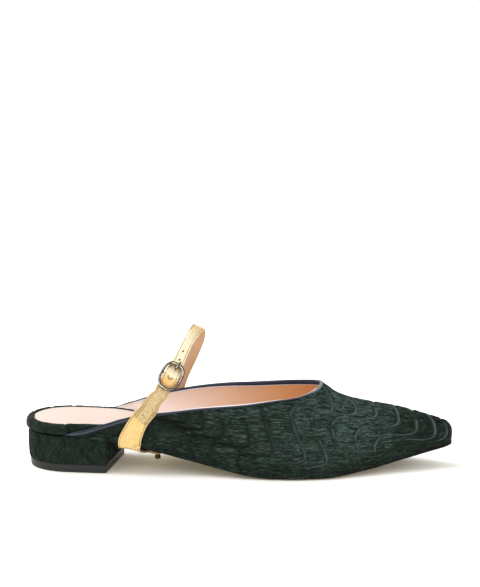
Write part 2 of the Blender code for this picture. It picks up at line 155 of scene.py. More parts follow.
# x, y, z, width, then the direction of the strap's front edge
SHORT_UNDER = [
    (79.4, -1.5, 12.9, 9.0, 0.9, -0.4, -0.2),
    (76.6, -9.0, 13.1, 10.4, 0.85, -0.5, -0.2),
    (71.8, -18.0, 14.0, 12.4, 0.85, -0.5, -0.2),
    (67.6, -25.2, 15.4, 13.6, 0.93, -0.35, -0.18),
    (66.2, -27.9, 16.8, 13.8, 0.98, -0.15, -0.15),
]
LONG_OVER = [
    (98.0, -13.2, 74.2, 6.8, 0.87, -0.03, -0.48),
    (100.7, -9.1, 79.4, 6.7, 0.88, -0.06, -0.46),
    (103.6, -4.0, 83.6, 7.2, 0.89, -0.10, -0.43),
    (105.8, 2.8, 85.2, 8.0, 0.90, -0.15, -0.39),
    (105.8, 8.0, 82.4, 8.2, 0.90, -0.15, -0.41),
    (104.6, 12.4, 77.0, 8.4, 0.88, -0.12, -0.46),
    (102.0, 17.0, 69.9, 8.4, 0.88, -0.10, -0.46),
    (98.9, 21.0, 62.7, 8.4, 0.88, -0.08, -0.46),
    (92.7, 26.0, 48.8, 8.6, 0.90, -0.05, -0.43),
    (89.0, 27.0, 38.0, 9.0, 0.93, 0.0, -0.35),
    (86.0, 26.9, 27.5, 9.6, 0.96, 0.05, -0.25),
    (83.2, 25.0, 17.5, 10.0, 0.99, 0.1, -0.2),
    (82.4, 23.6, 13.6, 10.0, 1.0, 0.05, -0.24),
    (81.7, 20.4, 12.0, 10.0, 1.0, -0.05, -0.24),
    (80.6, 8.0, 11.3, 10.0, 1.0, -0.1, -0.22),
    (79.8, -3.0, 11.4, 9.8, 1.0, -0.1, -0.2),
    (79.0, -14.0, 11.3, 9.4, 1.0, -0.1, -0.2),
    (78.6, -18.0, 11.5, 9.0, 1.0, -0.1, -0.2),
]

# distance up the leg, distance outward from the buckle's plane, width
SHORT_FOLD = [
    (-12.0, -2.9, 8.5),
    (-8.6, -2.9, 8.5),
    (-5.0, -2.3, 8.7),
    (-2.4, -0.8, 8.8),
    (-1.0, 0.15, 8.8),
    (0.3, 0.6, 8.8),
    (1.3, -0.5, 8.8),
    (0.9, -1.7, 8.8),
    (-0.6, -2.2, 8.8),
    (-3.0, -2.9, 8.8),
    (-6.0, -3.9, 8.8),
    (-10.0, -4.3, 8.8),
]
LONG_ARCH = [
    (-12.0, -1.65, 8.0),
    (-9.6, -1.7, 7.6),
    (-6.8, -1.7, 7.8),
    (-4.4, -0.6, 8.4),
    (-2.3, 0.9, 9.3),
    (0.0, 1.75, 9.5),
    (2.3, 0.9, 9.3),
    (4.4, -0.6, 8.4),
    (6.8, -1.75, 7.8),
    (9.6, -2.1, 7.3),
]
BUCKLE_AT = (91.2, -24.0, 60.4)
BUCKLE_LEAN = 29.8
BUCKLE_TILT = 23.7
FRAME_LONG = 8.2
FRAME_WIDE = 6.1
STRAP_SHIFT = -0.3          # the straps run this far behind the buckle's middle
BAR_N = -0.7                # and its bar lies this far inward
STUD_AT = (81.6, -12.5, 9.9)


# ---- the shoe's own shape

def smooth(x, rows, k):
    """Column k of a table at x, by a curve that never overshoots its rows."""
    xs = np.array([r[0] for r in rows])
    ys = np.array([r[k] for r in rows])
    x = np.clip(np.asarray(x, float), xs[0], xs[-1])
    h = np.diff(xs)
    d = np.diff(ys) / h
    m = np.zeros(len(xs))
    m[0], m[-1] = d[0], d[-1]
    for i in range(1, len(xs) - 1):
        if d[i - 1] * d[i] > 0:
            a = 2 * h[i] + h[i - 1]
            b = h[i] + 2 * h[i - 1]
            m[i] = (a + b) / (a / d[i - 1] + b / d[i])
    i = np.clip(np.searchsorted(xs, x, side="right") - 1, 0, len(xs) - 2)
    t = (x - xs[i]) / h[i]
    start = ys[i] * (2 * t**3 - 3 * t**2 + 1) + h[i] * m[i] * (t**3 - 2 * t**2 + t)
    end = ys[i + 1] * (3 * t**2 - 2 * t**3) + h[i] * m[i + 1] * (t**3 - t**2)
    return start + end


def ramp(x, low, high):
    """0 below low, 1 above high, and a soft step between."""
    u = np.clip((np.asarray(x, float) - low) / (high - low), 0, 1)
    return u * u * (3 - 2 * u)


def window(x, low, full, fade, gone):
    """1 from full to fade, 0 below low and above gone, and soft steps between."""
    return ramp(x, low, full) * (1 - ramp(x, fade, gone))


def table(*columns):
    """Columns of values side by side, single values repeated."""
    return np.stack(np.broadcast_arrays(*columns), -1)


def half_width(x):
    """Half the shoe's width, round at both ends."""
    x = np.asarray(x, float)
    a = np.clip(1 - x / HEEL_ROUND, 0, 1)
    b = np.clip(1 - (LENGTH - x) / TOE_ROUND, 0, 1)
    return smooth(x, SECTIONS, HALF) * (1 - a**POWER_X) ** (1 / POWER_Y) * np.sqrt(1 - b**2)


def centre(x):
    """Middle of the shoe's width, which leans to the inner side at the toe."""
    return smooth(x, SECTIONS, CENTRE)


def ridge_x(x):
    """Where the section that starts at x on the rim reaches the ridge."""
    u = np.clip((np.asarray(x, float) - FAN_X) / (LENGTH - FAN_X), 0, 1)
    return x - (LENGTH - NOSE_X) * u**2


def edge_share(side, x):
    """How far up the section the opening's edge lies, of the way from the rim to the ridge."""
    back = np.sqrt(np.clip(THROAT_X - np.asarray(x, float), 0, None))
    rows = [(math.sqrt(r[0]), r[1], r[2]) for r in EDGE]
    return smooth(back, rows, 1 if side < 0 else 2)


def last_point(side, x, t):
    """Outer surface of the upper: t runs from 0 at the rim to 1 on the ridge."""
    x, t = np.broadcast_arrays(np.asarray(x, float), np.asarray(t, float))
    rim = table(x, centre(x) + side * half_width(x), smooth(x, SECTIONS, RIM))
    rx = ridge_x(x)
    top = table(rx, centre(rx), smooth(rx, RIDGE, TOP))
    out = rim - top
    out[..., 2] = 0
    reach = np.linalg.norm(out, axis=-1, keepdims=True)
    out = out / np.maximum(reach, 1e-6)
    low = rim + out * smooth(rx, RIDGE, OUTER_SWELL if side < 0 else INNER_SWELL)[..., None]
    low[..., 2] += smooth(rx, RIDGE, LOW_HANDLE) * (top[..., 2] - rim[..., 2])
    high = top + out * reach * smooth(rx, RIDGE, HIGH_HANDLE)[..., None]
    t = t[..., None]
    s = 1 - t
    return s**3 * rim + 3 * s**2 * t * low + 3 * s * t**2 * high + t**3 * top


def breast_x(y):
    """Front face of the heel, across the shoe."""
    return BREAST_X + (y + 26) * math.tan(math.radians(BREAST_TILT))


def wall(x):
    """Thickness of the upper, skived down towards the back of its wings."""
    return smooth(x, [(TAIL_X, TAIL_T), (62.0, WALL_T), (LENGTH, WALL_T)], 1)


def leg_axes(lean, tilt):
    """Up the leg, across it towards its front edge, and outward."""
    a = math.radians(lean)
    b = math.radians(tilt)
    up = np.array([math.sin(a) * math.cos(b), math.sin(b), math.cos(a) * math.cos(b)])
    across = np.array([math.cos(a), 0.0, -math.sin(a)])
    return up, across, np.cross(across, up)


def near_leg(offset, first=0, width=None):
    """Rows along the near leg, moved outward by an offset."""
    rows = []
    for x, y, z, wide, lean, tilt in NEAR_LEG[first:]:
        _, across, outward = leg_axes(lean, tilt)
        spot = np.array([x, y, z]) + outward * offset
        rows.append((*spot, width or wide, *across))
    return rows


def round_buckle(rows):
    """Rows given in the buckle's own axes, moved to where the buckle sits."""
    up, across, outward = leg_axes(BUCKLE_LEAN, BUCKLE_TILT)
    made = []
    for s, n, width in rows:
        spot = np.array(BUCKLE_AT) + up * s + across * STRAP_SHIFT + outward * n
        made.append((*spot, width, *across))
    return made


def curve(rows, step):
    """Smooth curve through the rows, every column carried along."""
    rows = np.array(rows, float)
    gaps = np.linalg.norm(np.diff(rows[:, :3], axis=0), axis=1)
    slope = np.diff(rows, axis=0) / gaps[:, None]
    lean = np.empty_like(rows)
    lean[0], lean[-1] = slope[0], slope[-1]
    share = (gaps[1:] / (gaps[1:] + gaps[:-1]))[:, None]
    lean[1:-1] = slope[:-1] * share + slope[1:] * (1 - share)
    made = []
    for i, gap in enumerate(gaps):
        for u in np.arange(0, 1, 1 / max(1, round(gap / step))):
            h0 = 2 * u**3 - 3 * u**2 + 1
            h1 = u**3 - 2 * u**2 + u
            h2 = 3 * u**2 - 2 * u**3
            h3 = u**3 - u**2
            made.append(rows[i] * h0 + lean[i] * gap * h1 + rows[i + 1] * h2 + lean[i + 1] * gap * h3)
    made.append(rows[-1])
    return np.array(made)


# ---- lines and grids of points

def run_along(line):
    """Distance run at each point of a line; columns past the third are not part of the point."""
    steps = np.linalg.norm(np.diff(line[:, :3], axis=0), axis=1)
    return np.concatenate([[0], np.cumsum(steps)])


def full_turn(count):
    """Evenly spread angles."""
    return np.linspace(0, 2 * math.pi, count, endpoint=False)


def arc_heights(grid):
    """Distance run along each row of a grid."""
    steps = np.linalg.norm(np.diff(grid, axis=1), axis=2)
    return np.concatenate([np.zeros((len(grid), 1)), np.cumsum(steps, axis=1)], 1)


def read_at(rows, at, goal):
    """Rows known at some distances, read at others."""
    return np.stack([np.interp(goal, at, column) for column in rows.T], 1)


def resample(rows, step, closed=False):
    """Even rows along a line; columns past the third are carried along."""
    if closed:
        rows = np.concatenate([rows, rows[:1]])
    at = run_along(rows)
    goal = np.linspace(0, at[-1], max(2, round(at[-1] / step)) + 1)
    return read_at(rows, at, goal[:-1] if closed else goal)


def to_metres(points):
    """From the shoe's own millimetres to the frame's metres."""
    return (np.asarray(points, float) - (CENTRE_X, CENTRE_Y, 0)) * MM


def unit(v):
    """The same directions at length 1."""
    return v / np.maximum(np.linalg.norm(v, axis=-1, keepdims=True), 1e-9)


def square_to(ways, axes):
    """The part of each way that is square to its axis, at unit length."""
    return unit(ways - axes * np.sum(ways * axes, -1, keepdims=True))


# ---- making pieces

def piece(name, points, faces, material, stands_for=(), fields=None, chart=None):
    """A mesh piece on the shoe's one body. faces is a list of arrays, one for each face size;
    fields are values for the material, and chart is its flat map."""
    points = points.reshape(-1, 3)
    mesh = bpy.data.meshes.new(name)
    mesh.vertices.add(len(points))
    mesh.vertices.foreach_set("co", to_metres(points).astype(np.float32).ravel())
    corners = np.concatenate([f.ravel() for f in faces])
    sizes = np.concatenate([np.full(len(f), f.shape[1]) for f in faces])
    mesh.loops.add(len(corners))
    mesh.loops.foreach_set("vertex_index", corners.astype(np.int32))
    mesh.polygons.add(len(sizes))
    mesh.polygons.foreach_set("loop_start", (np.cumsum(sizes) - sizes).astype(np.int32))
    mesh.update(calc_edges=True)
    mesh.shade_smooth()
    for key, values in (fields or {}).items():
        values = np.asarray(values, np.float32)
        kind = "FLOAT" if values.ndim == 1 else "FLOAT_VECTOR"
        made = mesh.attributes.new(key, kind, "POINT")
        made.data.foreach_set("value" if values.ndim == 1 else "vector", values.ravel())
    if chart is not None:
        layer = mesh.uv_layers.new(name="OFBake", do_init=False)
        layer.uv.foreach_set("vector", chart[corners].astype(np.float32).ravel())
    mesh.materials.append(material)
    mesh.validate()
    obj = bpy.data.objects.new(name, mesh)
    bpy.context.scene.collection.objects.link(obj)
    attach(obj, "root")
    if stands_for:
        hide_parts(*stands_for)


def quads(index, flip=False):
    """Faces between the neighbouring rows and columns of a grid of vertex numbers."""
    a, b, c, d = index[:-1, :-1], index[1:, :-1], index[1:, 1:], index[:-1, 1:]
    order = (a, d, c, b) if flip else (a, b, c, d)
    made = np.stack(order, -1).reshape(-1, 4)
    ordered = np.sort(made, axis=1)
    return made[(np.diff(ordered, axis=1) > 0).all(1)]


def numbers(shape, first=0):
    """Vertex numbers of a grid."""
    return first + np.arange(shape[0] * shape[1]).reshape(shape)


def ringed(index):
    """A grid of vertex numbers whose columns close on themselves."""
    return np.concatenate([index, index[:, :1]], 1)


def closed_faces(grid):
    """Faces of a solid made of rings, with its two ends capped."""
    index = ringed(numbers(grid.shape[:2]))
    return [quads(index, flip=True), index[:1, :-1], index[-1:, :-1][:, ::-1]]


def vertex_normals(points, faces):
    """Mean normal at each point of a mesh of four-sided faces."""
    total = np.zeros_like(points)
    a, b, c, d = (points[faces[:, k]] for k in range(4))
    made = np.cross(c - a, d - b)
    for k in range(4):
        np.add.at(total, faces[:, k], made)
    return unit(total)


def bumps(points, scale, seed):
    """Smooth noise at points, from -1 to 1; scale is the size of its lumps."""
    shift = Vector((seed, seed * 1.7, -seed))
    return np.array([noise.noise(Vector(p) / scale + shift) for p in points.reshape(-1, 3)])


def sweep(line, sides, profiles, closed=False):
    """Rings along a line, capped unless it closes on itself. profiles gives one closed profile a
    point, in that point's two axes."""
    rings = []
    for spot, (a, b), profile in zip(line, sides, profiles):
        rings.append(spot + profile[:, :1] * a + profile[:, 1:] * b)
    points = np.concatenate(rings)
    index = numbers((len(rings), len(rings[0])))
    if closed:
        index = np.concatenate([index, index[:1]])
    faces = [quads(ringed(index))]
    if not closed:
        faces += [index[:1, ::-1], index[-1:]]
    return points, faces


# ---- materials

def add(tree, kind, settings=None, **values):
    """A node whose sockets are set by name or number; a socket given as a value is linked."""
    made = tree.nodes.new(kind)
    for key, value in (settings or {}).items():
        setattr(made, key, value)
    for key, value in values.items():
        numbered = key[0] == "i" and key[1:].isdigit()
        sock = made.inputs[int(key[1:])] if numbered else made.inputs[key]
        if isinstance(value, bpy.types.NodeSocket):
            tree.links.new(value, sock)
        else:
            sock.default_value = value
    return made


def new_material(name, colour, roughness, **more):
    """A Principled material, its node tree and its shader."""
    made = bpy.data.materials.new(name)
    made.use_nodes = True
    tree = made.node_tree
    shader = tree.nodes["Principled BSDF"]
    shader.inputs["Base Color"].default_value = (*colour, 1)
    shader.inputs["Roughness"].default_value = roughness
    for key, value in more.items():
        shader.inputs[key.replace("_", " ")].default_value = value
    return made, tree, shader


def field(tree, name, kind="Fac"):
    """A value that the mesh carries at its points."""
    return add(tree, "ShaderNodeAttribute", {"attribute_name": name}).outputs[kind]


def place_on(tree):
    """Place on the object, in metres."""
    return add(tree, "ShaderNodeTexCoord").outputs["Object"]


def scaled(tree, vector, scale):
    """A place stretched along each axis."""
    return add(tree, "ShaderNodeMapping", Vector=vector, Scale=scale).outputs[0]


def noisy(tree, vector, scale, detail=3.0, roughness=0.5):
    """Soft noise from 0 to 1."""
    made = add(tree, "ShaderNodeTexNoise", Vector=vector, Scale=scale, Detail=detail, Roughness=roughness)
    return made.outputs["Fac"]


def colours(tree, value, *stops):
    """Colour ramp: stops are (place, colour)."""
    made = add(tree, "ShaderNodeValToRGB", Fac=value)
    elements = made.color_ramp.elements
    while len(elements) < len(stops):
        elements.new(0.5)
    for element, (place, colour) in zip(elements, stops):
        element.position = place
        element.color = (*colour, 1)
    return made.outputs["Color"]


def mixed(tree, share, a, b):
    """Colour a, with a share of b."""
    return add(tree, "ShaderNodeMix", {"data_type": "RGBA"}, i0=share, i6=a, i7=b).outputs[2]


def sums(tree, how, a, b):
    """One sum of two values."""
    return add(tree, "ShaderNodeMath", {"operation": how}, i0=a, i1=b).outputs[0]


def times(tree, a, b):
    """One value times the other."""
    return sums(tree, "MULTIPLY", a, b)


def to_range(tree, value, low, high, new_low, new_high):
    """A value moved from one range to another, and kept inside it."""
    return add(tree, "ShaderNodeMapRange", i0=value, i1=low, i2=high, i3=new_low, i4=new_high).outputs[0]


def bumped(tree, shader, height, distance, strength):
    """Relief from a height, distance in millimetres."""
    made = add(tree, "ShaderNodeBump", Height=height, Distance=distance * MM, Strength=strength)
    tree.links.new(made.outputs[0], shader.inputs["Normal"])


PELT_BLACK = (0.0010, 0.0022, 0.0013)
PELT_DARK = (0.0026, 0.0070, 0.0038)
PELT_MID = (0.0080, 0.0182, 0.0100)
PELT_LIGHT = (0.0225, 0.0440, 0.0330)
PELT_PALE = (0.0640, 0.1020, 0.0920)
# A pressed line's colours: on the sides its own dark navy, deepened by painted shade; painted shade where it
# runs level; a paler painted highlight where it lies over the front
LINE_SIDE = (0.0045, 0.0058, 0.0100)
LINE_SHADED = (0.0012, 0.0018, 0.0014)
LINE_FRONT = (0.0720, 0.0990, 0.1040)
LEVEL_FROM = (0.4, 0.9)     # a line this level, from none to all of it, lies in shade


def pelt_material():
    """The skin under the hair: fine streaks along the hair, and bare pressed lines, with painted shade where
    they run level and a painted highlight over the front.
    """
    made, tree, shader = new_material("calf_hair_skin", PELT_MID, 0.6, Specular_IOR_Level=0.12)
    flow = field(tree, "flow", "Vector")
    groove = field(tree, "groove")
    front = field(tree, "front")
    fine = noisy(tree, scaled(tree, flow, (0.2, 2.4, 1)), 1.0, 2.0)
    hair = colours(tree, fine, (0.35, PELT_DARK), (0.65, PELT_MID))
    patches_and_highlight = noisy(tree, scaled(tree, flow, (0.25, 0.25, 1)), 1.0, 2.0)
    level = field(tree, "level")
    # painted shade where a line runs level, and a painted highlight where it lies over the front
    line = mixed(tree, to_range(tree, level, *LEVEL_FROM, 0.0, 1.0), (*LINE_SIDE, 1), (*LINE_SHADED, 1))
    line = mixed(tree, front, line, (*LINE_FRONT, 1))
    line = mixed(tree, to_range(tree, patches_and_highlight, 0.35, 0.65, 0.0, 0.5), line, hair)
    tree.links.new(mixed(tree, groove, hair, line), shader.inputs["Base Color"])
    bumped(tree, shader, fine, 0.25, 0.7)
    return made


def strand_material():
    """One hair, from almost black to a cold pale green."""
    made, tree, shader = new_material("calf_hair", PELT_MID, 0.5, Specular_IOR_Level=0.14)
    strand = field(tree, "strand")
    stops = ((0.1, PELT_BLACK), (0.3, PELT_DARK), (0.5, PELT_MID), (0.72, PELT_LIGHT), (0.95, PELT_PALE))
    tree.links.new(colours(tree, strand, *stops), shader.inputs["Base Color"])
    return made


def leather_material(name, dark, light, roughness, grain, depth, paint=None, **more):
    """Smooth leather: soft colour changes and a fine pebbled grain. grain is in lumps a metre, and
    paint makes the last colour out of the soft one."""
    made, tree, shader = new_material(name, light, roughness, **more)
    place = place_on(tree)
    base = colours(tree, noisy(tree, place, 45.0, 3.0), (0.3, dark), (0.7, light))
    tree.links.new(paint(tree, base) if paint else base, shader.inputs["Base Color"])
    pores = add(tree, "ShaderNodeTexVoronoi", {"feature": "SMOOTH_F1"}, Vector=place, Scale=grain)
    fine = noisy(tree, place, grain * 1.7, 4.0)
    height = sums(tree, "ADD", pores.outputs["Distance"], times(tree, fine, 0.6))
    bumped(tree, shader, height, depth, 0.6)
    rough = to_range(tree, fine, 0.3, 0.7, roughness - 0.05, roughness + 0.07)
    tree.links.new(rough, shader.inputs["Roughness"])
    return made


def lining_light_and_shade_paint(tree, base):
    """Painted light and shade: paler at the back and low down where light reaches in, and a deeper tan
    towards the toe for the shade and warm bounce inside it.
    """
    place = add(tree, "ShaderNodeSeparateXYZ", Vector=place_on(tree)).outputs
    low = to_range(tree, place["Z"], 0.030, 0.052, 1.0, 0.0)
    back = to_range(tree, place["X"], -0.012, 0.034, 1.0, 0.0)
    painted_light = mixed(tree, times(tree, low, back), base, (0.98, 0.83, 0.76, 1))
    depth = to_range(tree, place["X"], -0.045, 0.038, 0.0, 1.0)
    return mixed(tree, depth, painted_light, (0.86, 0.465, 0.20, 1))


def binding_highlight_paint(tree, base):
    """A painted highlight: paler where the binding's field says, along the top of the roll."""
    return mixed(tree, field(tree, "highlight"), base, (0.26, 0.325, 0.335, 1))


def gold_material():
    """Metal foil on leather: pale gold, finely creased, and duller where it is crushed, with painted
    highlight and painted shade along the strap.
    """
    made, tree, shader = new_material(
        "gold_foil_leather", (0.7, 0.5, 0.2), 0.36, Metallic=0.8, Coat_Weight=0.25, Coat_Roughness=0.2
    )
    flow = field(tree, "flow", "Vector")
    crush = field(tree, "crush")
    hole = field(tree, "hole")
    seam = field(tree, "seam")
    painted_light = field(tree, "painted_light")
    along = noisy(tree, scaled(tree, flow, (0.35, 1.1, 1)), 1.0, 4.0, 0.6)
    creases = add(
        tree, "ShaderNodeTexVoronoi", {"feature": "DISTANCE_TO_EDGE"},
        Vector=scaled(tree, flow, (1.1, 0.25, 1)), Scale=1.0,
    )
    crease = to_range(tree, creases.outputs["Distance"], 0.0, 0.16, 1.0, 0.0)
    base = colours(
        tree, along, (0.30, (0.62, 0.42, 0.155)), (0.48, (0.66, 0.46, 0.18)), (0.72, (0.74, 0.57, 0.27))
    )
    # painted highlight: paler over the buckle's bar and the instep; painted shade: deeper orange just below
    # the bar
    patches_and_highlight = to_range(tree, painted_light, 0.0, 1.0, 0.0, 0.75)
    pale = times(tree, patches_and_highlight, to_range(tree, along, 0.3, 0.6, 0.6, 1.0))
    base = mixed(tree, pale, base, (0.90, 0.84, 0.67, 1))
    base = mixed(tree, to_range(tree, painted_light, -1.0, 0.0, 0.8, 0.0), base, (0.78, 0.45, 0.14, 1))
    crushed = times(tree, crush, crease)
    base = mixed(tree, times(tree, crush, 0.4), base, (0.80, 0.66, 0.40, 1))
    base = mixed(tree, times(tree, crushed, 0.9), base, (0.26, 0.16, 0.07, 1))
    base = mixed(tree, times(tree, seam, 0.55), base, (0.30, 0.18, 0.07, 1))
    # painted shade: the punched holes and the deep fold turn near black over a shallow dent
    base = mixed(tree, hole, base, (0.05, 0.03, 0.02, 1))
    tree.links.new(base, shader.inputs["Base Color"])
    tree.links.new(to_range(tree, along, 0.3, 0.7, 0.44, 0.30), shader.inputs["Roughness"])
    height = sums(tree, "SUBTRACT", along, times(tree, crushed, 0.8))
    bumped(tree, shader, height, 0.25, 0.6)
    return made


def metal_material(name, highlight, flank, roughness):
    """Polished metal with painted reflections: the bright colour as a painted highlight where its field runs
    high, broken up by noise, and the dark colour as painted reflection elsewhere.
    """
    made, tree, shader = new_material(name, highlight, roughness, Metallic=1.0)
    bright = field(tree, "highlight")
    place = place_on(tree)
    glint_noise = times(tree, noisy(tree, place, 800.0), 0.4)
    marks = sums(tree, "ADD", noisy(tree, place, 220.0, 2.0), glint_noise)
    share = to_range(tree, sums(tree, "ADD", bright, times(tree, marks, 0.3)), 1.06, 1.17, 0.0, 1.0)
    tree.links.new(mixed(tree, share, (*flank, 1), (*highlight, 1)), shader.inputs["Base Color"])
    rough = to_range(tree, share, 0.0, 1.0, roughness * 1.6, roughness * 0.8)
    tree.links.new(rough, shader.inputs["Roughness"])
    return made


def thread_material(name, colour):
    """Twisted thread."""
    made, tree, shader = new_material(name, colour, 0.7)
    twist = noisy(tree, place_on(tree), 2500.0, 1.0)
    dark = tuple(c * 0.6 for c in colour)
    tree.links.new(colours(tree, twist, (0.4, dark), (0.6, colour)), shader.inputs["Base Color"])
    return made


PELT = pelt_material()
HAIR = strand_material()
NAVY = leather_material(
    "navy_binding", (0.010, 0.014, 0.026), (0.016, 0.023, 0.040), 0.42, 1900.0, 0.05, binding_highlight_paint,
    Specular_IOR_Level=0.14,
)
SOCK = leather_material("pale_sock", (0.555, 0.435, 0.380), (0.595, 0.474, 0.414), 0.5, 1500.0, 0.04)
# the lining's edge, paler than the lining: a painted highlight along its top
EDGE_PINK = leather_material("pink_edge", (0.74, 0.66, 0.68), (0.80, 0.73, 0.76), 0.5, 1500.0, 0.03)
LINING = leather_material(
    "tan_lining", (0.68, 0.49, 0.37), (0.74, 0.55, 0.425), 0.5, 1500.0, 0.04, lining_light_and_shade_paint
)
STRAP_BACK = leather_material("tan_strap_back", (0.51, 0.31, 0.165), (0.62, 0.41, 0.24), 0.5, 1500.0, 0.04)
SOLE = leather_material(
    "black_sole", (0.003, 0.003, 0.003), (0.006, 0.006, 0.006), 0.65, 1100.0, 0.05, Specular_IOR_Level=0.12
)
RUBBER = leather_material(
    "black_rubber", (0.013, 0.0145, 0.0145), (0.019, 0.0205, 0.0205), 0.5, 1300.0, 0.04,
    Specular_IOR_Level=0.3,
)
GOLD = gold_material()
# painted reflections: the first colour is the painted highlight, the second the dark flanks
NICKEL = metal_material("nickel", (0.80, 0.76, 0.70), (0.075, 0.055, 0.040), 0.16)
BRASS = metal_material("brass_with_painted_glints", (0.50, 0.36, 0.17), (0.06, 0.04, 0.02), 0.25)
NAVY_THREAD = thread_material("navy_thread", (0.004, 0.005, 0.009))
GOLD_THREAD = thread_material("gold_thread", (0.26, 0.16, 0.07))

# ---- the pressed waves

WAVE_DEPTH = 0.6            # how far the pressed lines lie below the hair
WAVE_HALF = 0.68            # half width of a pressed line
LIP = 0.18                  # the hair puffs up beside a line
BARE = 0.42                 # hair stops where a line is pressed harder than this
WAVE_TALL = 34.0            # from one hook down to the next
WAVE_BACK = 15.5            # and how far back the next one lies
FRONT_FROM = (150, 170)     # lines that start in front of here lie over the toe
FRONT_TILT = 0.44           # there a line runs level in the air, not along the rising rim
SHADE_REACH = 1.9           # how far the shade of a level line reaches

# Where a line runs level: x, height above the rim; then how far it swings to either side
WAVES = [
    (36.0, 14.0, 7.0),
    (50.0, 19.0, 8.0),
    (64.0, 21.0, 8.5),
    (77.5, 21.5, 9.0),
    (89.5, 20.8, 9.0),
    (101.0, 19.3, 9.0),
    (113.0, 17.0, 9.0),
    (127.0, 15.8, 9.8),
    (142.0, 12.7, 9.5),
    (175.5, 42.2, 10.8),
    (188.0, 39.3, 11.8),
    (200.5, 33.3, 11.4),
    (215.0, 23.6, 11.2),
    (227.0, 14.8, 10.8),
    (239.0, 8.0, 9.5),
    (247.5, 4.6, 7.0),
]


def at_height(side, x, high, marks):
    """Points on the upper at distances up its surface from the rim, with what goes with each;
    only those that lie on it."""
    share = np.where(x < THROAT_X, edge_share(side, x), 1.0)
    t = share[:, None] * np.linspace(0, 1, 60)
    line = last_point(side, x[:, None], t)
    run = arc_heights(line)
    found = np.array([np.interp(h, r, row) for h, r, row in zip(high, run, t)])
    lies = (high >= 0) & (high <= run[:, -1])
    return last_point(side, x[lies], found[lies]), marks[lies]


def front_tilt(start, swing, turn_at):
    """How far a line over the toe leaves its level run: up to a hook in front, down behind."""
    bend = np.sin(turn_at)
    hook = FRONT_TILT * bend - 0.40 * np.clip(bend, 0, 1) ** 5 + 0.07 * np.clip(-bend, 0, 1) ** 3
    return ramp(start, *FRONT_FROM) * swing * hook * (1 - ramp(np.abs(turn_at), 1.6, 3.1))


def wave_line(side, turn):
    """One pressed line down the upper: it bulges to the toe, runs back level, bays to the heel, and
    again. With the points go how hard each one is pressed and how level the line runs there."""
    start, level, swing = WAVES[turn]
    phase = np.linspace(-3 * math.pi, 3 * math.pi, 900)
    turn_at = phase - math.pi
    fall = WAVE_TALL / (2 * math.pi) * (phase + 1.05 * np.sin(phase) + 0.08 * np.sin(2 * phase) - math.pi)
    high = level + 0.6 * math.sin(1.3 * turn) * (side > 0) - fall + front_tilt(start, swing, turn_at)
    back = (WAVE_BACK + 5.0 * ramp(start, 185, 203)) / WAVE_TALL
    x = start + swing * np.sin(phase) - back * fall + 0.7 * np.sin(1.7 * turn + high * 0.08)
    wander = np.array([noise.noise(Vector((p, 3.1 * turn, side))) for p in phase * 1.7])
    force = np.clip(0.95 - 0.12 * np.cos(phase + 0.5) + 0.55 * wander, 0.0, 1.0)
    last = 2.4 - 3.3 * ramp(start, 228, 247)
    force = force * (1 - 0.75 * ramp(start, 188, 212) * ramp(turn_at, last, last + 0.9))
    over, down = np.gradient(x), np.gradient(high)
    marks = table(force, np.abs(over) / np.hypot(over, down))
    on = (x > TAIL_X) & (x < LENGTH - 0.4)
    return at_height(side, x[on], high[on], marks[on])


def upper_waves():
    """Every line on both sides."""
    return [wave_line(side, turn) for side in (-1, 1) for turn in range(len(WAVES))]


def pressed(points, normals, lines):
    """Points with the waves pressed in; then how bare each one is, how level the line there runs,
    and how much it lies in the shade of a level line."""
    spots = np.concatenate([line for line, _ in lines])
    marks = np.concatenate([np.broadcast_to(m, (len(line), 2)) for line, m in lines])
    tree = KDTree(len(spots))
    for i, p in enumerate(spots):
        tree.insert(p, i)
    tree.balance()
    found = [tree.find(p) for p in points]
    far = np.array([f[2] for f in found])
    force, level = marks[[f[1] for f in found]].T
    trough = np.exp(-((far / WAVE_HALF) ** 2)) * force
    shade = np.exp(-((far / SHADE_REACH) ** 2)) * force * ramp(level, *LEVEL_FROM)
    lip = np.exp(-(((far - 1.7) / 0.8) ** 2)) * force
    return points + normals * (LIP * lip - WAVE_DEPTH * trough)[:, None], trough, level, shade


def at_grid(grid, fi, fj):
    """Values between the points of a grid."""
    i = np.clip(np.floor(fi).astype(int), 0, grid.shape[0] - 2)
    j = np.clip(np.floor(fj).astype(int), 0, grid.shape[1] - 2)
    a = np.clip(fi - i, 0, 1)
    b = np.clip(fj - j, 0, 1)
    if grid.ndim == 3:
        a, b = a[..., None], b[..., None]
    return (
        grid[i, j] * (1 - a) * (1 - b)
        + grid[i + 1, j] * a * (1 - b)
        + grid[i, j + 1] * (1 - a) * b
        + grid[i + 1, j + 1] * a * b
    )


def grid_rates(points, ways):
    """How many rows and columns of a grid one millimetre along each way is."""
    down = np.gradient(points, axis=0)
    over = np.gradient(points, axis=1)
    dd, do, oo = (np.sum(a * b, -1) for a, b in ((down, down), (down, over), (over, over)))
    area = np.maximum(dd * oo - do**2, 0.001)
    made = []
    for way in ways:
        a = np.sum(down * way, -1)
        b = np.sum(over * way, -1)
        made.append(table((a * oo - b * do) / area, (b * dd - a * do) / area))
    return made


HAIR_STEPS = 6              # a hair is followed over the surface in this many steps

# How many hairs, how long, and the seed of their random draws
HAIRS_OUTER = (66000, 4.8, 3)
HAIRS_INNER = (66000, 4.8, 4)
HAIRS_HEEL = (34000, 3.4, 5)
HAIRS_WRAP = (16000, 3.6, 6)
HAIR_BACK = (-1.0, 0.0, 0.0)   # the upper's hair lies towards the heel

# A hair-covered surface as grids: its points and normals, how bare the lines press it, distances
# along and across the hair, its flat map, and the painted light and shade on the hair
Surface = namedtuple("Surface", "points normals bare flow chart pale")


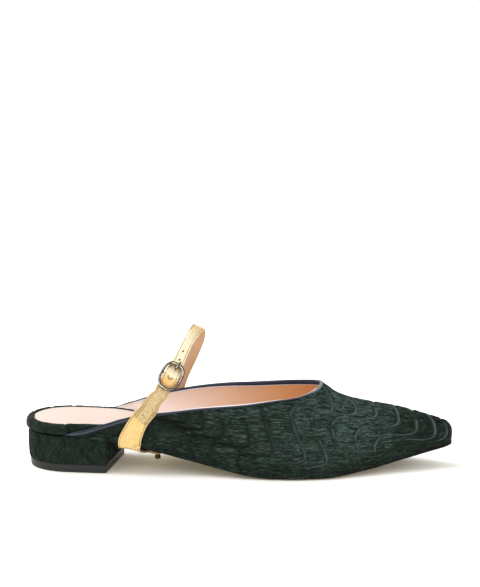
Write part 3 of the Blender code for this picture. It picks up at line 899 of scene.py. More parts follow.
def root_places(points, count, rng):
    """Random places on a grid, as many on every square millimetre."""
    along = np.linalg.norm(np.diff(points, axis=0), axis=2)[:, :-1]
    across = np.linalg.norm(np.diff(points, axis=1), axis=2)[:-1]
    weight = (along * across).ravel()
    i, j = np.divmod(rng.choice(len(weight), count, p=weight / weight.sum()), across.shape[1])
    return table(i + rng.random(count), j + rng.random(count))


def follow(surface, spot, lay, reach, turn):
    """The way that each hair takes over the grid from its root, a row for each step."""
    ahead = square_to(lay, surface.normals)
    forth, aside = grid_rates(surface.points, (ahead, np.cross(surface.normals, ahead)))
    track = [spot]
    for _ in range(HAIR_STEPS):
        go = at_grid(forth, *spot.T) + at_grid(aside, *spot.T) * turn[:, None]
        spot = spot + go * (reach / HAIR_STEPS)[:, None]
        track.append(spot)
    return np.stack(track)


def blades(surface, places, streak, rng):
    """Corners of each hair, and their places on the flat map: two at the root, two at the raised
    middle and one at the tip."""
    count = len(streak)
    root, middle, tip = (at_grid(surface.points, *p.T) for p in places)
    ups = [unit(at_grid(surface.normals, *p.T)) for p in places]
    lift = 0.12 + 0.18 * rng.random(count) + 0.15 * np.clip(streak, 0, 1)
    root = root - ups[0] * 0.05
    middle = middle + ups[1] * lift[:, None]
    tip = tip + ups[2] * (lift * (0.2 + rng.random(count)))[:, None]
    roll = rng.normal(0, 0.45, count)[:, None]
    side = unit(np.cross(tip - root, ups[1]))
    side = side * np.cos(roll) + ups[1] * np.sin(roll)
    side = side * (0.10 + 0.08 * rng.random(count))[:, None]
    corners = [root - side * 0.8, root + side * 0.8, middle - side, middle + side, tip]
    width = np.array([0.0, 0.0007])
    root, middle, tip = (at_grid(surface.chart, *p.T) for p in places)
    charts = [root - width, root + width, middle - width, middle + width, tip]
    return np.stack(corners, 1), np.stack(charts, 1)


def comb(name, surface, hairs, lay, unruly=0.06, contrast=1.0):
    """Short hair lying flat over a surface, the way lay points; it stops short of the pressed lines."""
    count, length, seed = hairs
    rng = np.random.default_rng(seed)
    spot = root_places(surface.points, count, rng)
    tuft = bumps(at_grid(surface.flow, *spot.T) * (0.25, 0.5, 1.0), 1.0, seed)
    turn = unruly * (1.6 * tuft + 0.6 * rng.normal(0, 1, count))
    reach = length * (0.6 + 0.8 * rng.random(count))
    track = follow(surface, spot, lay, reach, turn)
    inside = ((track >= 0) & (track <= np.array(surface.bare.shape) - 1)).all(-1)
    clear = inside & (at_grid(surface.bare, track[..., 0], track[..., 1]) < BARE + 0.14 * rng.random(count))
    run = np.cumprod(clear, axis=0).sum(0) - 1
    keep = run >= 2
    every = np.arange(count)
    places = [p[keep] for p in (track[0], track[run // 2, every], track[run, every])]
    grain = at_grid(surface.flow, *places[0].T)
    # the painted light and shade on the hair, which also sets how strongly it is streaked
    light = at_grid(surface.pale, *places[0].T)
    streak = bumps(grain * (0.15, 2.0, 1.0), 1.0, seed + 3)
    fine = bumps(grain * (0.3, 3.4, 1.0), 1.0, seed + 5)
    patch = bumps(grain * (0.05, 0.22, 1.0), 1.0, seed + 7)
    corners, charts = blades(surface, places, streak, rng)
    vivid = (0.42 + light) * streak + (0.22 + light) * fine + 0.16 * rng.normal(0, 1, len(grain))
    shade = np.clip(0.44 + contrast * vivid + 0.12 * patch + light, 0, 1)
    first = np.arange(len(grain))[:, None] * corners.shape[1]
    faces = [first + np.array([[0, 1, 3, 2]]), first + np.array([[2, 3, 4]])]
    fields = {"strand": np.repeat(shade, corners.shape[1])}
    piece(name, corners, faces, HAIR, fields=fields, chart=charts.reshape(-1, 2))


# ---- upper

NEAR_THROAT = 14.0          # sections crowd together over this length behind the throat
FINE_X = 236.0              # and from here to the toe


def crowded(start, end, count):
    """Places after start that crowd together towards end."""
    return end - (end - start) * np.linspace(1, 0, count)[1:] ** 2


def upper_stations(step):
    """Places of the upper's sections."""
    crowd = THROAT_X - NEAR_THROAT
    return np.concatenate([
        np.linspace(TAIL_X, crowd, round((crowd - TAIL_X) / step)),
        crowded(crowd, THROAT_X, round(18 / step)),
        np.linspace(THROAT_X, FINE_X, round((FINE_X - THROAT_X) / step))[1:],
        crowded(FINE_X, LENGTH, round(30 / step)),
    ])


# The hide's lowest strip: outward, share of the way down
SKIRT = [(-1.2, 1.0), (0.30, 1.0), (0.42, 0.8), (0.36, 0.5), (0.16, 0.2)]


def skirt(side, rim):
    """Below the rim the hide runs down onto the sole, and at the back over the top of the heel."""
    along = unit(np.gradient(rim, axis=0))
    out = table(-along[:, 1], along[:, 0], 0.0) * side
    x, y, z = rim.T
    on_sole = z - smooth(x, SECTIONS, UNDER) - SOLE_T + 0.75 - 0.65 * ramp(x, FINE_X, 256)
    over_heel = 0.15 + 1.5 * ramp(x, 33.0, 41.0) + 1.7 * ramp(x, 41.0, 53.0)
    drop = np.where(x > breast_x(y) + 0.5, on_sole, over_heel)
    strips = [rim + out * share - drop[:, None] * (0, 0, level) for share, level in SKIRT]
    return np.stack(strips, 1)


def upper_grids(step, columns, hangs=False):
    """Both sides of the outer surface as grids of vertex numbers, with the points, their normals
    and the faces. hangs adds the strip below the rim."""
    stations = upper_stations(step)
    is_open = stations < THROAT_X - 1e-6
    grids = []
    for side in (-1, 1):
        share = np.where(is_open, edge_share(side, stations), 1.0)
        grid = last_point(side, stations[:, None], share[:, None] * np.linspace(0, 1, columns + 1))
        grids.append(np.concatenate([skirt(side, grid[:, 0]), grid], 1) if hangs else grid)
    near = numbers(grids[0].shape[:2])
    far = numbers(grids[1].shape[:2], near.size)
    far[~is_open, -1] = near[~is_open, -1]
    far[-1] = near[-1]
    points = np.concatenate([g.reshape(-1, 3) for g in grids])
    faces = np.concatenate([quads(near), quads(far, flip=True)])
    return points, vertex_normals(points, faces), near, far, faces


# Where the hair is painted paler, as light from above falls on it: how much, the stretch it fades in and out
# over, the heights it fades in over
HAIR_LIT = [
    (0.09, 100, 132, 212, 238, 4, 15),
    (0.10, 150, 190, 212, 238, 6, 22),
    (0.05, 175, 200, 212, 232, 18, 30),
]


def painted_hair_light(x, high, shade, front):
    """Painted light and shade on the hair at a height above the rim: paler higher up the sides and
    over the instep, where light from above falls, and darker as painted shade low along the sole
    and beside level lines. It is also darker at the back and at the toe."""
    pale = np.zeros_like(x)
    for more, low, full, fade, gone, foot, head in HAIR_LIT:
        pale += more * window(x, low, full, fade, gone) * ramp(high, foot, head)
    pale -= 0.05 * (1 - ramp(x, 95, 125)) + 0.2 * shade * (1 - front)
    return pale - 0.05 * ramp(x, 222, 245) - 0.04 * ramp(x, 140, 160) * (1 - ramp(high, 3, 12))


def make_upper_skin():
    """The hide with the waves pressed in, and the hair on both sides."""
    points, normals, near, far, faces = upper_grids(0.56, 90, hangs=True)
    moved, bare, level, shade = pressed(points, normals, upper_waves())
    front = ramp(points[:, 0], 134, 186)
    flow = np.zeros_like(points)
    chart = np.zeros((len(points), 2))
    surfaces = []
    for side, index in ((-1, near), (1, far)):
        high = arc_heights(points[index])
        x = points[index][..., 0]
        flow[index] = table(x, high, 40.0 * side)
        chart[index] = table((x - 26.0) / 240.0, 0.5 + side * (0.004 + high / 175.0))
        pale = painted_hair_light(x, high, shade[index], front[index])
        shown = index[:, 1:]
        grids = [values[shown] for values in (moved, normals, bare, flow, chart)]
        surfaces.append(Surface(*grids, pale[:, 1:]))
    fields = {"groove": bare, "flow": flow, "front": front, "level": level}
    piece("upper_hide", moved, [faces], PELT, stands_for=("upper",), fields=fields, chart=chart)
    comb("upper_hair_outer", surfaces[0], HAIRS_OUTER, HAIR_BACK)
    comb("upper_hair_inner", surfaces[1], HAIRS_INNER, HAIR_BACK)


def make_upper_lining():
    """The wall's inner face, wrinkled at the back of the far wing."""
    points, normals, _, _, faces = upper_grids(1.1, 34)
    inner = points - normals * wall(points[:, 0])[:, None]
    folds = bumps(points * (1, 1, 0.5), 4.0, 3.0)
    folds *= (1 - ramp(points[:, 0], 62, 80)) * ramp(points[:, 1], 5, 15)
    inner -= normals * (0.55 * folds)[:, None]
    piece("upper_lining", inner, [faces[:, ::-1]], LINING)


def topline():
    """The edge of the opening, from the near wing's end round the throat to the far one's: point,
    outward normal, direction towards the opening, direction along it, and the wall's thickness."""
    lines = []
    root = np.linspace(math.sqrt(THROAT_X - TAIL_X - 0.1), 0, 420)
    for side in (-1, 1):
        x = THROAT_X - root**2
        t = edge_share(side, x)
        spot = last_point(side, x, t)
        dx = last_point(side, x + 0.05, t) - last_point(side, x - 0.05, t)
        dt = last_point(side, x, t) - last_point(side, x, t - 0.004)
        out = unit(np.cross(dx, dt)) * -side
        rows = np.concatenate([spot, out, wall(x)[:, None]], 1)
        lines.append(rows if side < 0 else rows[::-1][1:])
    rows = resample(np.concatenate(lines), TOPLINE_STEP)
    along = unit(np.gradient(rows[:, :3], axis=0))
    out = square_to(rows[:, 3:6], along)
    return rows[:, :3], out, np.cross(out, along), along, rows[:, 6]


def stitches(name, spots, along, across, out, size, material, slot):
    """Raised stitches: size is half length, half width and height."""
    ring = []
    for u, fat in ((-1.0, 0.15), (-0.8, 0.75), (0.0, 1.0), (0.8, 0.75), (1.0, 0.15)):
        for k in range(7):
            w = 2 * math.pi * k / 7
            ring.append((u * size[0], math.cos(w) * size[1] * fat, math.sin(w) * size[2] * fat))
    ring = np.array(ring)
    axes = np.stack([along, across, out], 1)
    points = spots[:, None] + np.einsum("vk,skc->svc", ring, axes)
    index = ringed(numbers((5, 7)))
    first = np.arange(len(spots))[:, None, None] * len(ring)
    body = (first + quads(index)[None]).reshape(-1, 4)
    ends = np.concatenate([(first[:, 0] + index[0, :-1][::-1]), (first[:, 0] + index[-1, :-1])])
    piece(name, points, [body, ends], material)


TAIL_RUN = 5.0              # the binding's ends run on this far, tucked under the seat's wrap
TOPLINE_STEP = 0.46         # from one point of the top line to the next
FIRST_STITCH = 22           # the point with the first stitch
STITCH_EVERY = 3            # and every how many points there is one


def tapered_ends(spot, out, up, along, thick):
    """The line of the binding with its two ends run on and thinned to nothing."""
    share = np.linspace(1, 0, 12)[:-1]
    run = (TAIL_RUN * share)[:, None]
    sink = (0.9 * share**2)[:, None] * (0.0, 0.0, 1.0)
    first = spot[0] - along[0] * run - sink
    last = spot[-1] + along[-1] * run - sink
    more = len(share)
    held = [np.concatenate([v[:1].repeat(more, 0), v, v[-1:].repeat(more, 0)])
            for v in (out, up, along, thick)]
    size = np.concatenate([1 - 0.85 * share, np.ones(len(spot)), (1 - 0.85 * share)[::-1]])
    return (np.concatenate([first, spot, last[::-1]]), *held, size)


def band_profile(w, reach, deep, over):
    """The binding across the edge of a wall w thick: outward, and up towards the opening. It
    reaches down the outer face. deep grows from 0 at the back to 1 near the throat, and over is 0
    on the near side of the shoe and 1 on the far one."""
    outer = [
        (-0.1, -reach), (0.34, -reach - 0.05), (0.46, -reach + 0.15), (0.50, -reach * 0.7),
        (0.52, -reach * 0.4), (0.53, 0.0), (0.42, 0.30), (0.15, 0.47), (-0.2, 0.52),
    ]
    near = np.array([(-w * 0.55, 0.50), (-w * 0.6, 0.1), (-0.4, -0.8)])
    far = np.array([(-w - 0.16, 0.30), (-w - 0.22, 0.1 - 0.8 * deep), (-w + 0.3, -0.1 - 0.8 * deep)])
    return np.concatenate([outer, near * (1 - over) + far * over])


def bead_profile(w, rise, drop, deep, over):
    """The lining's own edge, in the same axes: it stands up beside the near binding, and hides
    under the far one."""
    near = np.array([
        (-w * 0.5, -0.2), (-w * 0.5, 0.65 + rise), (-w * 0.62, 0.96 + rise), (-w * 0.8, 1.0 + rise),
        (-w * 0.98, 0.85 + rise), (-w - 0.12, 0.45), (-w - 0.16, -0.1), (-w - 0.10, -0.8), (-w + 0.1, -1.4),
    ]) - (0.0, drop)
    far = np.array([
        (-w + 0.1, -0.5), (-w - 0.1, -0.6), (-w - 0.28, -0.7), (-w - 0.36, -0.85), (-w - 0.38, -1.05),
        (-w - 0.36, -1.25), (-w - 0.28, -1.4), (-w - 0.1, -1.5), (-w + 0.1, -1.6),
    ]) + (0.0, 0.65 * (1 - deep))
    return near * (1 - over) + far * over


def make_topline():
    """Navy binding rolled over the edge, the lining's own edge beside it, and a row of stitches."""
    spot, out, up, along, thick, size = tapered_ends(*topline())
    band, bead, highlight = [], [], []
    for i, ((x, y, _), w, small) in enumerate(zip(spot, thick, size)):
        tail = 1 - ramp(x, 62, 100)
        apex = ramp(x, 170, 180)
        over = ramp(y, -10, 8)
        deep = ramp(x, 95, 160)
        reach = (0.75 + 1.15 * tail + 0.7 * apex) * small
        profile = band_profile(w, reach, deep, over)
        band.append(profile * small)
        # painted highlight along the top of the roll: strong at the throat, stronger at the wings' back
        # ends, and between the near side's stitches
        level = -reach * (0.25 + 0.2 * tail)
        broad = 0.28 + 0.12 * tail + 0.5 * apex
        shine = np.exp(-(((profile[:, 1] - level) / broad) ** 2)) * (profile[:, 0] > 0)
        lit_between_stitches = 0.16 * (1 - tail) * (1 - over) * ((i - FIRST_STITCH) % STITCH_EVERY > 0)
        highlight.append(shine * (0.03 + 0.20 * tail + 0.85 * apex + lit_between_stitches))
        bead.append(bead_profile(w, 0.45 * ramp(x, 100, 140), 1.1 * (1 - ramp(x, 63, 74)), deep, over))
    sides = list(zip(out, up))
    points, faces = sweep(spot, sides, band)
    piece("topline_binding", points, faces, NAVY, fields={"highlight": np.concatenate(highlight)})
    runs = np.flatnonzero(spot[:, 0] > 64.0)
    body = slice(runs[0], runs[-1] + 1)
    points, faces = sweep(spot[body], sides[body], bead[body])
    piece("lining_edge", points, faces, EDGE_PINK)
    pick = np.arange(FIRST_STITCH, len(spot) - FIRST_STITCH, STITCH_EVERY)
    low = (spot + out * 0.54 - up * 0.42)[pick]
    axes = along[pick], up[pick], out[pick]
    stitches("topline_stitches", low, *axes, (0.38, 0.34, 0.18), NAVY_THREAD, "upper")


# ---- heel, its wrap and the sock

def seat_side(side, first_x):
    """Outline of the seat on one side, from the front to the middle of the back."""
    turn = np.linspace(0, math.pi / 2, 120)
    straight = np.linspace(first_x, HEEL_ROUND, 60)[:-1]
    x = np.concatenate([straight, HEEL_ROUND * (1 - np.sin(turn) ** (2 / POWER_X))])
    narrower = np.concatenate([np.ones(len(straight)), np.cos(turn) ** (2 / POWER_Y)])
    wide = smooth(x, SECTIONS, HALF) * narrower
    tuck = (wall(x) + GAP + 0.2) * np.clip((x - HEEL_ROUND) / 3.0, 0, 1)
    return table(x, centre(x) + side * (wide - tuck))


def seat_outline(first_x, count):
    """Outline of the seat round the back, from the outer side to the inner, and the distance run."""
    line = np.concatenate([seat_side(-1, first_x), seat_side(1, first_x)[::-1][1:]])
    at = run_along(line)
    goal = np.linspace(0, at[-1], count)
    return read_at(line, at, goal), goal


def line_normals(line, closed=False):
    """Outward in the plane, for a line that runs clockwise seen from above."""
    if closed:
        along = np.roll(line, -1, axis=0) - np.roll(line, 1, axis=0)
    else:
        along = np.gradient(line, axis=0)
    return unit(table(-along[:, 1], along[:, 0]))


def shell_piece(name, grid, lines, stands_for, lay, hairs, inside, unruly):
    """A hair-covered band round the point inside: a grid of points with its pressed lines and hair."""
    m, n = grid.shape[:2]
    faces = quads(numbers((m, n)))
    points = grid.reshape(-1, 3)
    normals = vertex_normals(points, faces)
    if np.sum(normals * (points - inside)) < 0:
        faces = faces[:, ::-1]
        normals = -normals
    moved, bare, level, _ = pressed(points, normals, lines)
    at = run_along(grid[:, n // 2])
    high = arc_heights(grid)
    ways = table(at[:, None], high, 9.0 * hairs[-1])
    chart = ways[..., :2] / (at[-1], high.max()) * 0.98 + 0.01
    if abs(lay[..., 2]).mean() > 0.5:
        ways = ways[..., [1, 0, 2]]
    piece(
        name, moved, [faces], PELT, stands_for=stands_for,
        fields={"groove": bare, "flow": ways.reshape(-1, 3), "level": level}, chart=chart.reshape(-1, 2),
    )
    grids = [values.reshape(*grid.shape[:2], -1) for values in (moved, normals)]
    surface = Surface(*grids, bare.reshape(m, n), ways, chart, 0 * high)
    comb(name + "_hair", surface, hairs, lay, unruly, contrast=0.62)


def heel_outline(back, inset, count):
    """Closed outline of the heel with its two front corners softly rounded."""
    squeeze = 1 - inset / 26.0
    sides = []
    for side in (-1, 1):
        front = breast_x(centre(BREAST_X) + side * half_width(BREAST_X) * squeeze)
        x = back + (front - back) * np.linspace(0, 1, 140) ** 1.8
        sides.append(table(x, centre(x) + side * half_width(x - back) * squeeze))
    loop = np.concatenate([sides[0][::-1], sides[1][1:]])
    start = loop[0] + (loop[-1] - loop[0]) * 0.5
    loop = np.concatenate([[start], loop, [start]])
    at = run_along(loop)
    line = read_at(loop, at, np.linspace(0, at[-1], count + 1)[:-1])
    for _ in range(3):
        line = (np.roll(line, 1, axis=0) + 2 * line + np.roll(line, -1, axis=0)) / 4
    return line


HEEL_POINTS = 360           # round the heel

# Start, sideways swing and lean of the pressed lines round the heel, in millimetres
HEEL_LINES = [
    (30.0, 4.0, 6.0), (46.0, 5.0, 9.0), (63.0, 5.0, 10.0), (81.0, 4.0, 8.0), (99.0, 5.0, -6.0),
    (117.0, 5.0, -8.0), (135.0, 5.0, -9.0), (152.0, 4.0, -6.0),
]

# Start and lean of those round the wrap
WRAP_LINES = [(34.0, 3.0), (48.0, 4.0), (61.0, 5.0), (77.0, 4.0), (93.0, -4.0), (108.0, -4.0), (122.0, -3.0)]

# The wrap's profile from its foot over to the sock: outward, up
WRAP_PROFILE = [
    (-1.6, 0.0), (-0.4, 0.02), (0.05, 0.12), (0.30, 0.5), (0.46, 1.2), (0.54, 2.1), (0.54, 3.0),
    (0.45, 3.9), (0.25, 4.7), (-0.12, 5.35), (-0.65, 5.8), (-1.3, 6.02), (-1.9, 6.05), (-2.5, 5.9),
    (-3.2, 5.5), (-4.2, 5.2),
]
WRAP_TALL = 6.05


def make_heel_cover():
    """Hide round the heel block, its top edge rolled in under the seat."""
    levels = [*np.linspace(LIFT_T + 0.15, SEAT_Z - 0.6, 40), SEAT_Z - 0.25, SEAT_Z - 0.05, SEAT_Z + 0.1]
    rows = []
    for z in levels:
        bulge = 0.25 * math.sin(math.pi * min(1.0, (z - LIFT_T) / (SEAT_Z - LIFT_T)))
        roll = 1.1 * max(0.0, (z - SEAT_Z + 0.6) / 0.7) ** 2
        line = heel_outline(1.2 - 0.3 * min(1.0, (z - LIFT_T) / 9), 1.1, HEEL_POINTS)
        line = line + line_normals(line, closed=True) * (bulge - roll)
        rows.append(table(*line.T, z))
    grid = np.stack(rows, 1)
    grid = np.concatenate([grid, grid[:1]])
    around = np.linalg.norm(np.diff(grid[:, 20], axis=0), axis=1).sum() / HEEL_POINTS
    v = np.linspace(0, 1, 120)
    lines = []
    for start, swing, lean in HEEL_LINES:
        at = start + swing * np.sin(5.5 * v) + lean * v
        lines.append((at_grid(grid, at / around, v * (len(levels) - 4)), (0.7, 0.6)))
    lines.append((grid[:, -3], (1.0, 1.0)))
    lay = np.broadcast_to((-0.55, 0.0, -0.83), grid.shape)
    middle = (25.0, 0.0, 14.0)
    shell_piece("heel_hide", grid, lines, ("heel_block",), lay, HAIRS_HEEL, middle, 0.3)


def make_heel_wrap():
    """Padded band round the edge of the seat, turned over onto its top."""
    line, at = seat_outline(64.0, 300)
    out = line_normals(line)
    shape = resample(np.array(WRAP_PROFILE), 0.42)
    puff = bumps(table(at, 0.0, 0.0), 11.0, 2.0)[:, None]
    fade = (1 - ramp(line[:, 0], 26.0, 30.5))[:, None]
    wide = shape[:, 0] * (1 + 0.12 * puff) * (0.35 + 0.65 * fade) - 0.3 * (1 - fade)
    low = smooth(line[:, 0], SECTIONS, RIM)[:, None] - 0.05
    rise = smooth(line[:, 0], INSOLE, 1)[:, None] + 0.85 - 0.4 * fade
    high = shape[:, 1] * ((rise - low) / WRAP_TALL) + low
    flat = line[:, None] + out[:, None] * wide[..., None]
    grid = table(flat[..., 0], flat[..., 1], high)
    v = np.linspace(0, 1, 60)
    lines = []
    for start, swing in WRAP_LINES:
        spots = at_grid(grid, (start + swing * v) / at[-1] * (len(at) - 1), 3 + v * (len(shape) - 10))
        lines.append((spots, (0.8, 0.6)))
    lines.append((grid[:, 3], (1.0, 1.0)))
    lay = unit(np.gradient(grid, axis=0)) * (1.0, 1.0, 1.0) - (0.0, 0.0, 0.35)
    shell_piece("seat_wrap", grid, lines, (), lay, HAIRS_WRAP, (25.0, 0.0, 26.0), 0.15)


def make_sock():
    """Nude sock over the insole, from the padded seat to the toe, its edge pushed under the lining."""
    first = 4.3
    toe = SOCK_TIP + 2.2
    near_toe = toe - 8.0
    stations = np.concatenate([
        first + (HEEL_ROUND - first) * np.linspace(0, 1, 40) ** 2,
        np.linspace(HEEL_ROUND, near_toe, 260)[1:],
        crowded(near_toe, toe, 22),
    ])
    t = np.linspace(-1, 1, 61)                   # across the sock, closer together at its edges
    t = np.sign(t) * (1 - (1 - np.abs(t)) ** 1.5)
    rows = []
    for x in stations:
        a = max(0.0, (HEEL_ROUND - x) / (HEEL_ROUND - first))
        seat = (1 - a**POWER_X) ** (1 / POWER_Y)
        tip = math.sqrt(max(0.0, 1 - max(0.0, 1 - (toe - x) / 5.0) ** 2))
        walled = ramp(x, HEEL_ROUND, 34)
        pushed = 1.1 * ramp(x, 46, 56) + 0.9 * window(x, 54, 60, 80, 92)
        inside = (1 - walled) * 2.7 + walled * (wall(x) + 0.8 - pushed)
        w = max(0.02, (smooth(x, SECTIONS, HALF) - inside) * seat * tip)
        y = t * w
        near_edge = np.clip((np.abs(y) - (w - 1.3)) / 1.3, 0, 1)
        roll = 0.55 * (1 - np.sqrt(1 - near_edge**2 * 0.98)) * (1 - ramp(x, 40, 60) * 0.8)
        dish = 0.35 * (1 - t**2) * (1 - ramp(x, 30, 70))
        z = smooth(x, INSOLE, 1) + 0.28 - roll + dish
        rows.append(table(x, centre(x) + y, z))
    grid = np.stack(rows)
    faces = [quads(numbers(grid.shape[:2]))]
    piece("sock", grid, faces, SOCK, stands_for=("insole",))


# Height and how far out the top piece's edge lies there
LIFT_EDGE = [
    (0.0, -1.2), (0.0, -0.5), (0.12, -0.12), (0.45, 0.0), (2.5, 0.02), (LIFT_T - 0.35, 0.0),
    (LIFT_T - 0.08, -0.1), (LIFT_T, -0.4),
]

# Half a section of the sole: share of the half width, share of the thickness
SOLE_HALF = [
    (0.0, 0.0), (0.4, 0.0), (0.8, 0.0), (0.86, 0.01), (0.92, 0.09), (0.97, 0.22), (0.995, 0.36), (1.0, 0.5),
    (1.0, 0.8), (0.99, 0.95), (0.96, 1.0),
]


def make_top_piece():
    """Black top piece with softened edges."""
    rows = []
    for z, out in LIFT_EDGE:
        share = z / LIFT_T
        line = heel_outline(1.8 - 0.5 * share, 1.6 - 0.4 * share, 300)
        line = line + line_normals(line, closed=True) * out
        rows.append(table(*line.T, z))
    grid = np.stack(rows)
    piece("top_piece", grid, closed_faces(grid), RUBBER, stands_for=("heel_top_piece",))


def make_sole():
    """Leather outsole: rounded edge, its underside bent to the arch and the toe."""
    back = BREAST_X + GAP
    front = LENGTH + 0.6
    stations = np.concatenate([
        np.linspace(back, FINE_X, 190),
        crowded(FINE_X, front, 50)[:-1],
        [front - 0.02],
    ])
    section = [(-share, level) for share, level in SOLE_HALF[:0:-1]] + SOLE_HALF + [(0.0, 1.0)]
    rows = []
    for x in stations:
        w = half_width(x * LENGTH / front) + SOLE_PROUD
        skew = max(0.0, 1 - (x - back) / SKEW_FADE)
        ring = []
        for share, level in section:
            y = centre(x) + share * w
            at = x + skew * (breast_x(y) - BREAST_X)
            ring.append((at, y, smooth(at, SECTIONS, UNDER) + level * SOLE_T))
        rows.append(ring)
    grid = np.array(rows)
    piece("sole", grid, closed_faces(grid), SOLE, stands_for=("outsole",))


# ---- straps

SEAM_IN = 1.0               # from a strap's edge to its line of stitches
STRAP_STEP = 0.4            # from one point of a strap to the next


def strap_frame(rows, step):
    """Points, widths and axes along a strap: across, outward, along, and the distance run."""
    line = curve(rows, step)
    spot = line[:, :3]
    along = unit(np.gradient(spot, axis=0))
    across = square_to(line[:, 4:], along)
    return spot, line[:, 3], across, np.cross(across, along), along, run_along(spot)


def hole_marks(y, s, holes):
    """How much each place across a strap lies in a punched hole or a bowed fold."""
    marks = np.zeros(len(y))
    for middle, reach in holes:
        bowed = reach > 0
        far = np.hypot(s - middle - 0.35 * np.minimum(y**2, 4.0) * bowed, np.maximum(np.abs(y) - reach, 0))
        marks = np.maximum(marks, ramp(-far, -0.85, -0.5) * (1 - 0.35 * bowed))
    return marks


def back_profile(half, thick):
    """The tan back of a strap, across it and outward."""
    side = [(half - 0.15, -0.06), (half - 0.12, -thick * 0.4), (half - 0.35, -thick / 2)]
    return np.array([(-a, b) for a, b in side] + [(0, -thick / 2)] + side[::-1])


def strap_pieces(name, rows, thick, crush, painted_light, holes, slot):
    """Gold face and tan back, stitched together along both edges. crush says how creased the foil is at
    a distance along the strap; the next argument gives painted highlight there where it is above 0 and
    painted shade where it is below 0."""
    spot, width, across, outward, along, at = strap_frame(rows, STRAP_STEP)
    share = np.sin(np.linspace(-1, 1, 31) * math.pi / 2)
    places = np.array([(s, y * w / 2, 0) for s, w in zip(at, width) for y in share])
    rough = bumps(places, 1.7, 5.0).reshape(len(at), -1)
    wrinkle = np.clip(1 - 3 * np.abs(bumps(places * (1, 0.45, 1), 2.6, 8.0)), 0, 1).reshape(len(at), -1)
    face, marks = [], []
    for i, (s, half) in enumerate(zip(at, width / 2)):
        y = share * half
        low = y[::-6]
        seam = np.exp(-(((np.abs(y) - (half - SEAM_IN)) / 0.28) ** 2))
        edge = np.clip((np.abs(y) - (half - 0.4)) / 0.4, 0, 1)
        hole = hole_marks(y, s, holes)
        z = thick / 2 + 0.10 * (1 - share**2) - 0.18 * seam - thick * 0.42 * (1 - np.sqrt(1 - edge**2))
        z += (0.05 + 0.12 * crush(s)) * rough[i] + 0.16 * crush(s) * wrinkle[i] - 0.45 * hole
        face.append(np.concatenate([table(y, z), table(low * 0.98, -0.04)]))
        marks.append(table(crush(s), hole, seam + 0.5 * edge, s, y, painted_light(s)))
        marks.append(table(crush(s), 0.0, 0.5, s, low, 0.0))
    crushed, hole, seam, run, y, pale = np.concatenate(marks).T
    fields = {"crush": crushed, "hole": hole, "seam": seam, "painted_light": pale, "flow": table(run, y, y)}
    axes = list(zip(across, outward))
    points, faces = sweep(spot, axes, face)
    faces = [f[:, ::-1] for f in faces]
    piece(name + "_gold", points, faces, GOLD, stands_for=(slot,), fields=fields)
    points, faces = sweep(spot, axes, [back_profile(half, thick) for half in width / 2])
    piece(name + "_lining", points, faces, STRAP_BACK)
    pick = np.searchsorted(at, np.arange(1.2, at[-1] - 1.0, 1.9))
    inset = (width[pick] / 2 - SEAM_IN)[:, None]
    spots = [spot[pick] + across[pick] * inset * s + outward[pick] * (thick / 2 - 0.06) for s in (-1, 1)]
    ways = [np.concatenate([v[pick], v[pick]]) for v in (along, across, outward)]
    stitches(name + "_stitches", np.concatenate(spots), *ways, (0.66, 0.15, 0.12), GOLD_THREAD, slot)


# From the middle of the buckle up the strap, and half how wide: a deep fold, then punched holes
HOLES = [(-2.0, 1.2), (12.4, 0.0), (18.4, 0.0)]


def make_straps():
    """The short strap from under the waist to the buckle, and the long one over the instep."""
    rows = SHORT_UNDER + near_leg(0.0) + round_buckle(SHORT_FOLD)
    strap_pieces("short_strap", rows, SHORT_T, lambda s: 0.0, lambda s: 0.0, (), "strap_short")
    rows = near_leg(LONG_OUT, 2, LONG_END) + round_buckle(LONG_ARCH) + LONG_OVER
    spot, _, _, _, _, at = strap_frame(rows, STRAP_STEP)
    middle = at[int(np.argmin(np.linalg.norm(spot - np.array(BUCKLE_AT), axis=1)))]

    def crush(s):
        """Creased up to the buckle, and nearly smooth beyond it."""
        return 1.0 - 0.9 * ramp(s, middle - 9.0, middle - 4.0)

    def painted_light(s):
        """Painted highlight over the buckle's bar and the instep, and painted shade just below the bar."""
        hump = window(s - middle, -2.5, 1.0, 4.5, 7.5)
        top = window(s - middle, 8.0, 12.0, 24.0, 42.0)
        fold = window(s - middle, -9.0, -7.0, -4.0, -2.0)
        return max(hump, top) - fold

    holes = [(middle + up, half) for up, half in HOLES]
    strap_pieces("long_strap", rows, STRAP_T, crush, painted_light, holes, "strap_long")


# ---- buckle, prong and stud

def wire(points, radius, sides, squash=1.0, closed=False):
    """Round wire along points given in the buckle's axes: up, across, outward."""
    axes = np.array(leg_axes(BUCKLE_LEAN, BUCKLE_TILT))
    points = np.array(points, float)
    if closed:
        along = np.roll(points, -1, axis=0) - np.roll(points, 1, axis=0)
    else:
        along = np.gradient(points, axis=0)
    along = unit(along)
    side = unit(np.cross(along, (0.0, 0.0, 1.0)))
    third = np.cross(side, along)
    w = full_turn(sides)
    radius = np.broadcast_to(radius, (len(points),))
    profiles = [table(np.cos(w) * r, np.sin(w) * r * squash) for r in radius]
    ends = [(a @ axes, b @ axes) for a, b in zip(side, third)]
    made, faces = sweep(np.array(BUCKLE_AT) + points @ axes, ends, profiles, closed=closed)
    # painted highlight: how squarely each point of the wire faces one fixed direction of light
    shine = np.array((-0.4, -0.3, 0.87))
    highlight = (np.cos(w) * (side @ shine)[:, None] + np.sin(w) * (third @ shine)[:, None]).ravel()
    return made, faces, highlight


FRAME_POWER = 0.72          # below 1 squares the frame's corners
FRAME_R = 0.82
BAR_R = 0.6

# Up the leg, across it and outward from the middle of the buckle
PRONG = [
    (5.3, 0.1, -0.5), (6.1, 0.2, 0.8), (7.2, 0.4, 1.45), (8.2, 0.6, 1.7), (9.2, 0.75, 1.65),
    (10.4, 0.9, 1.2),
]


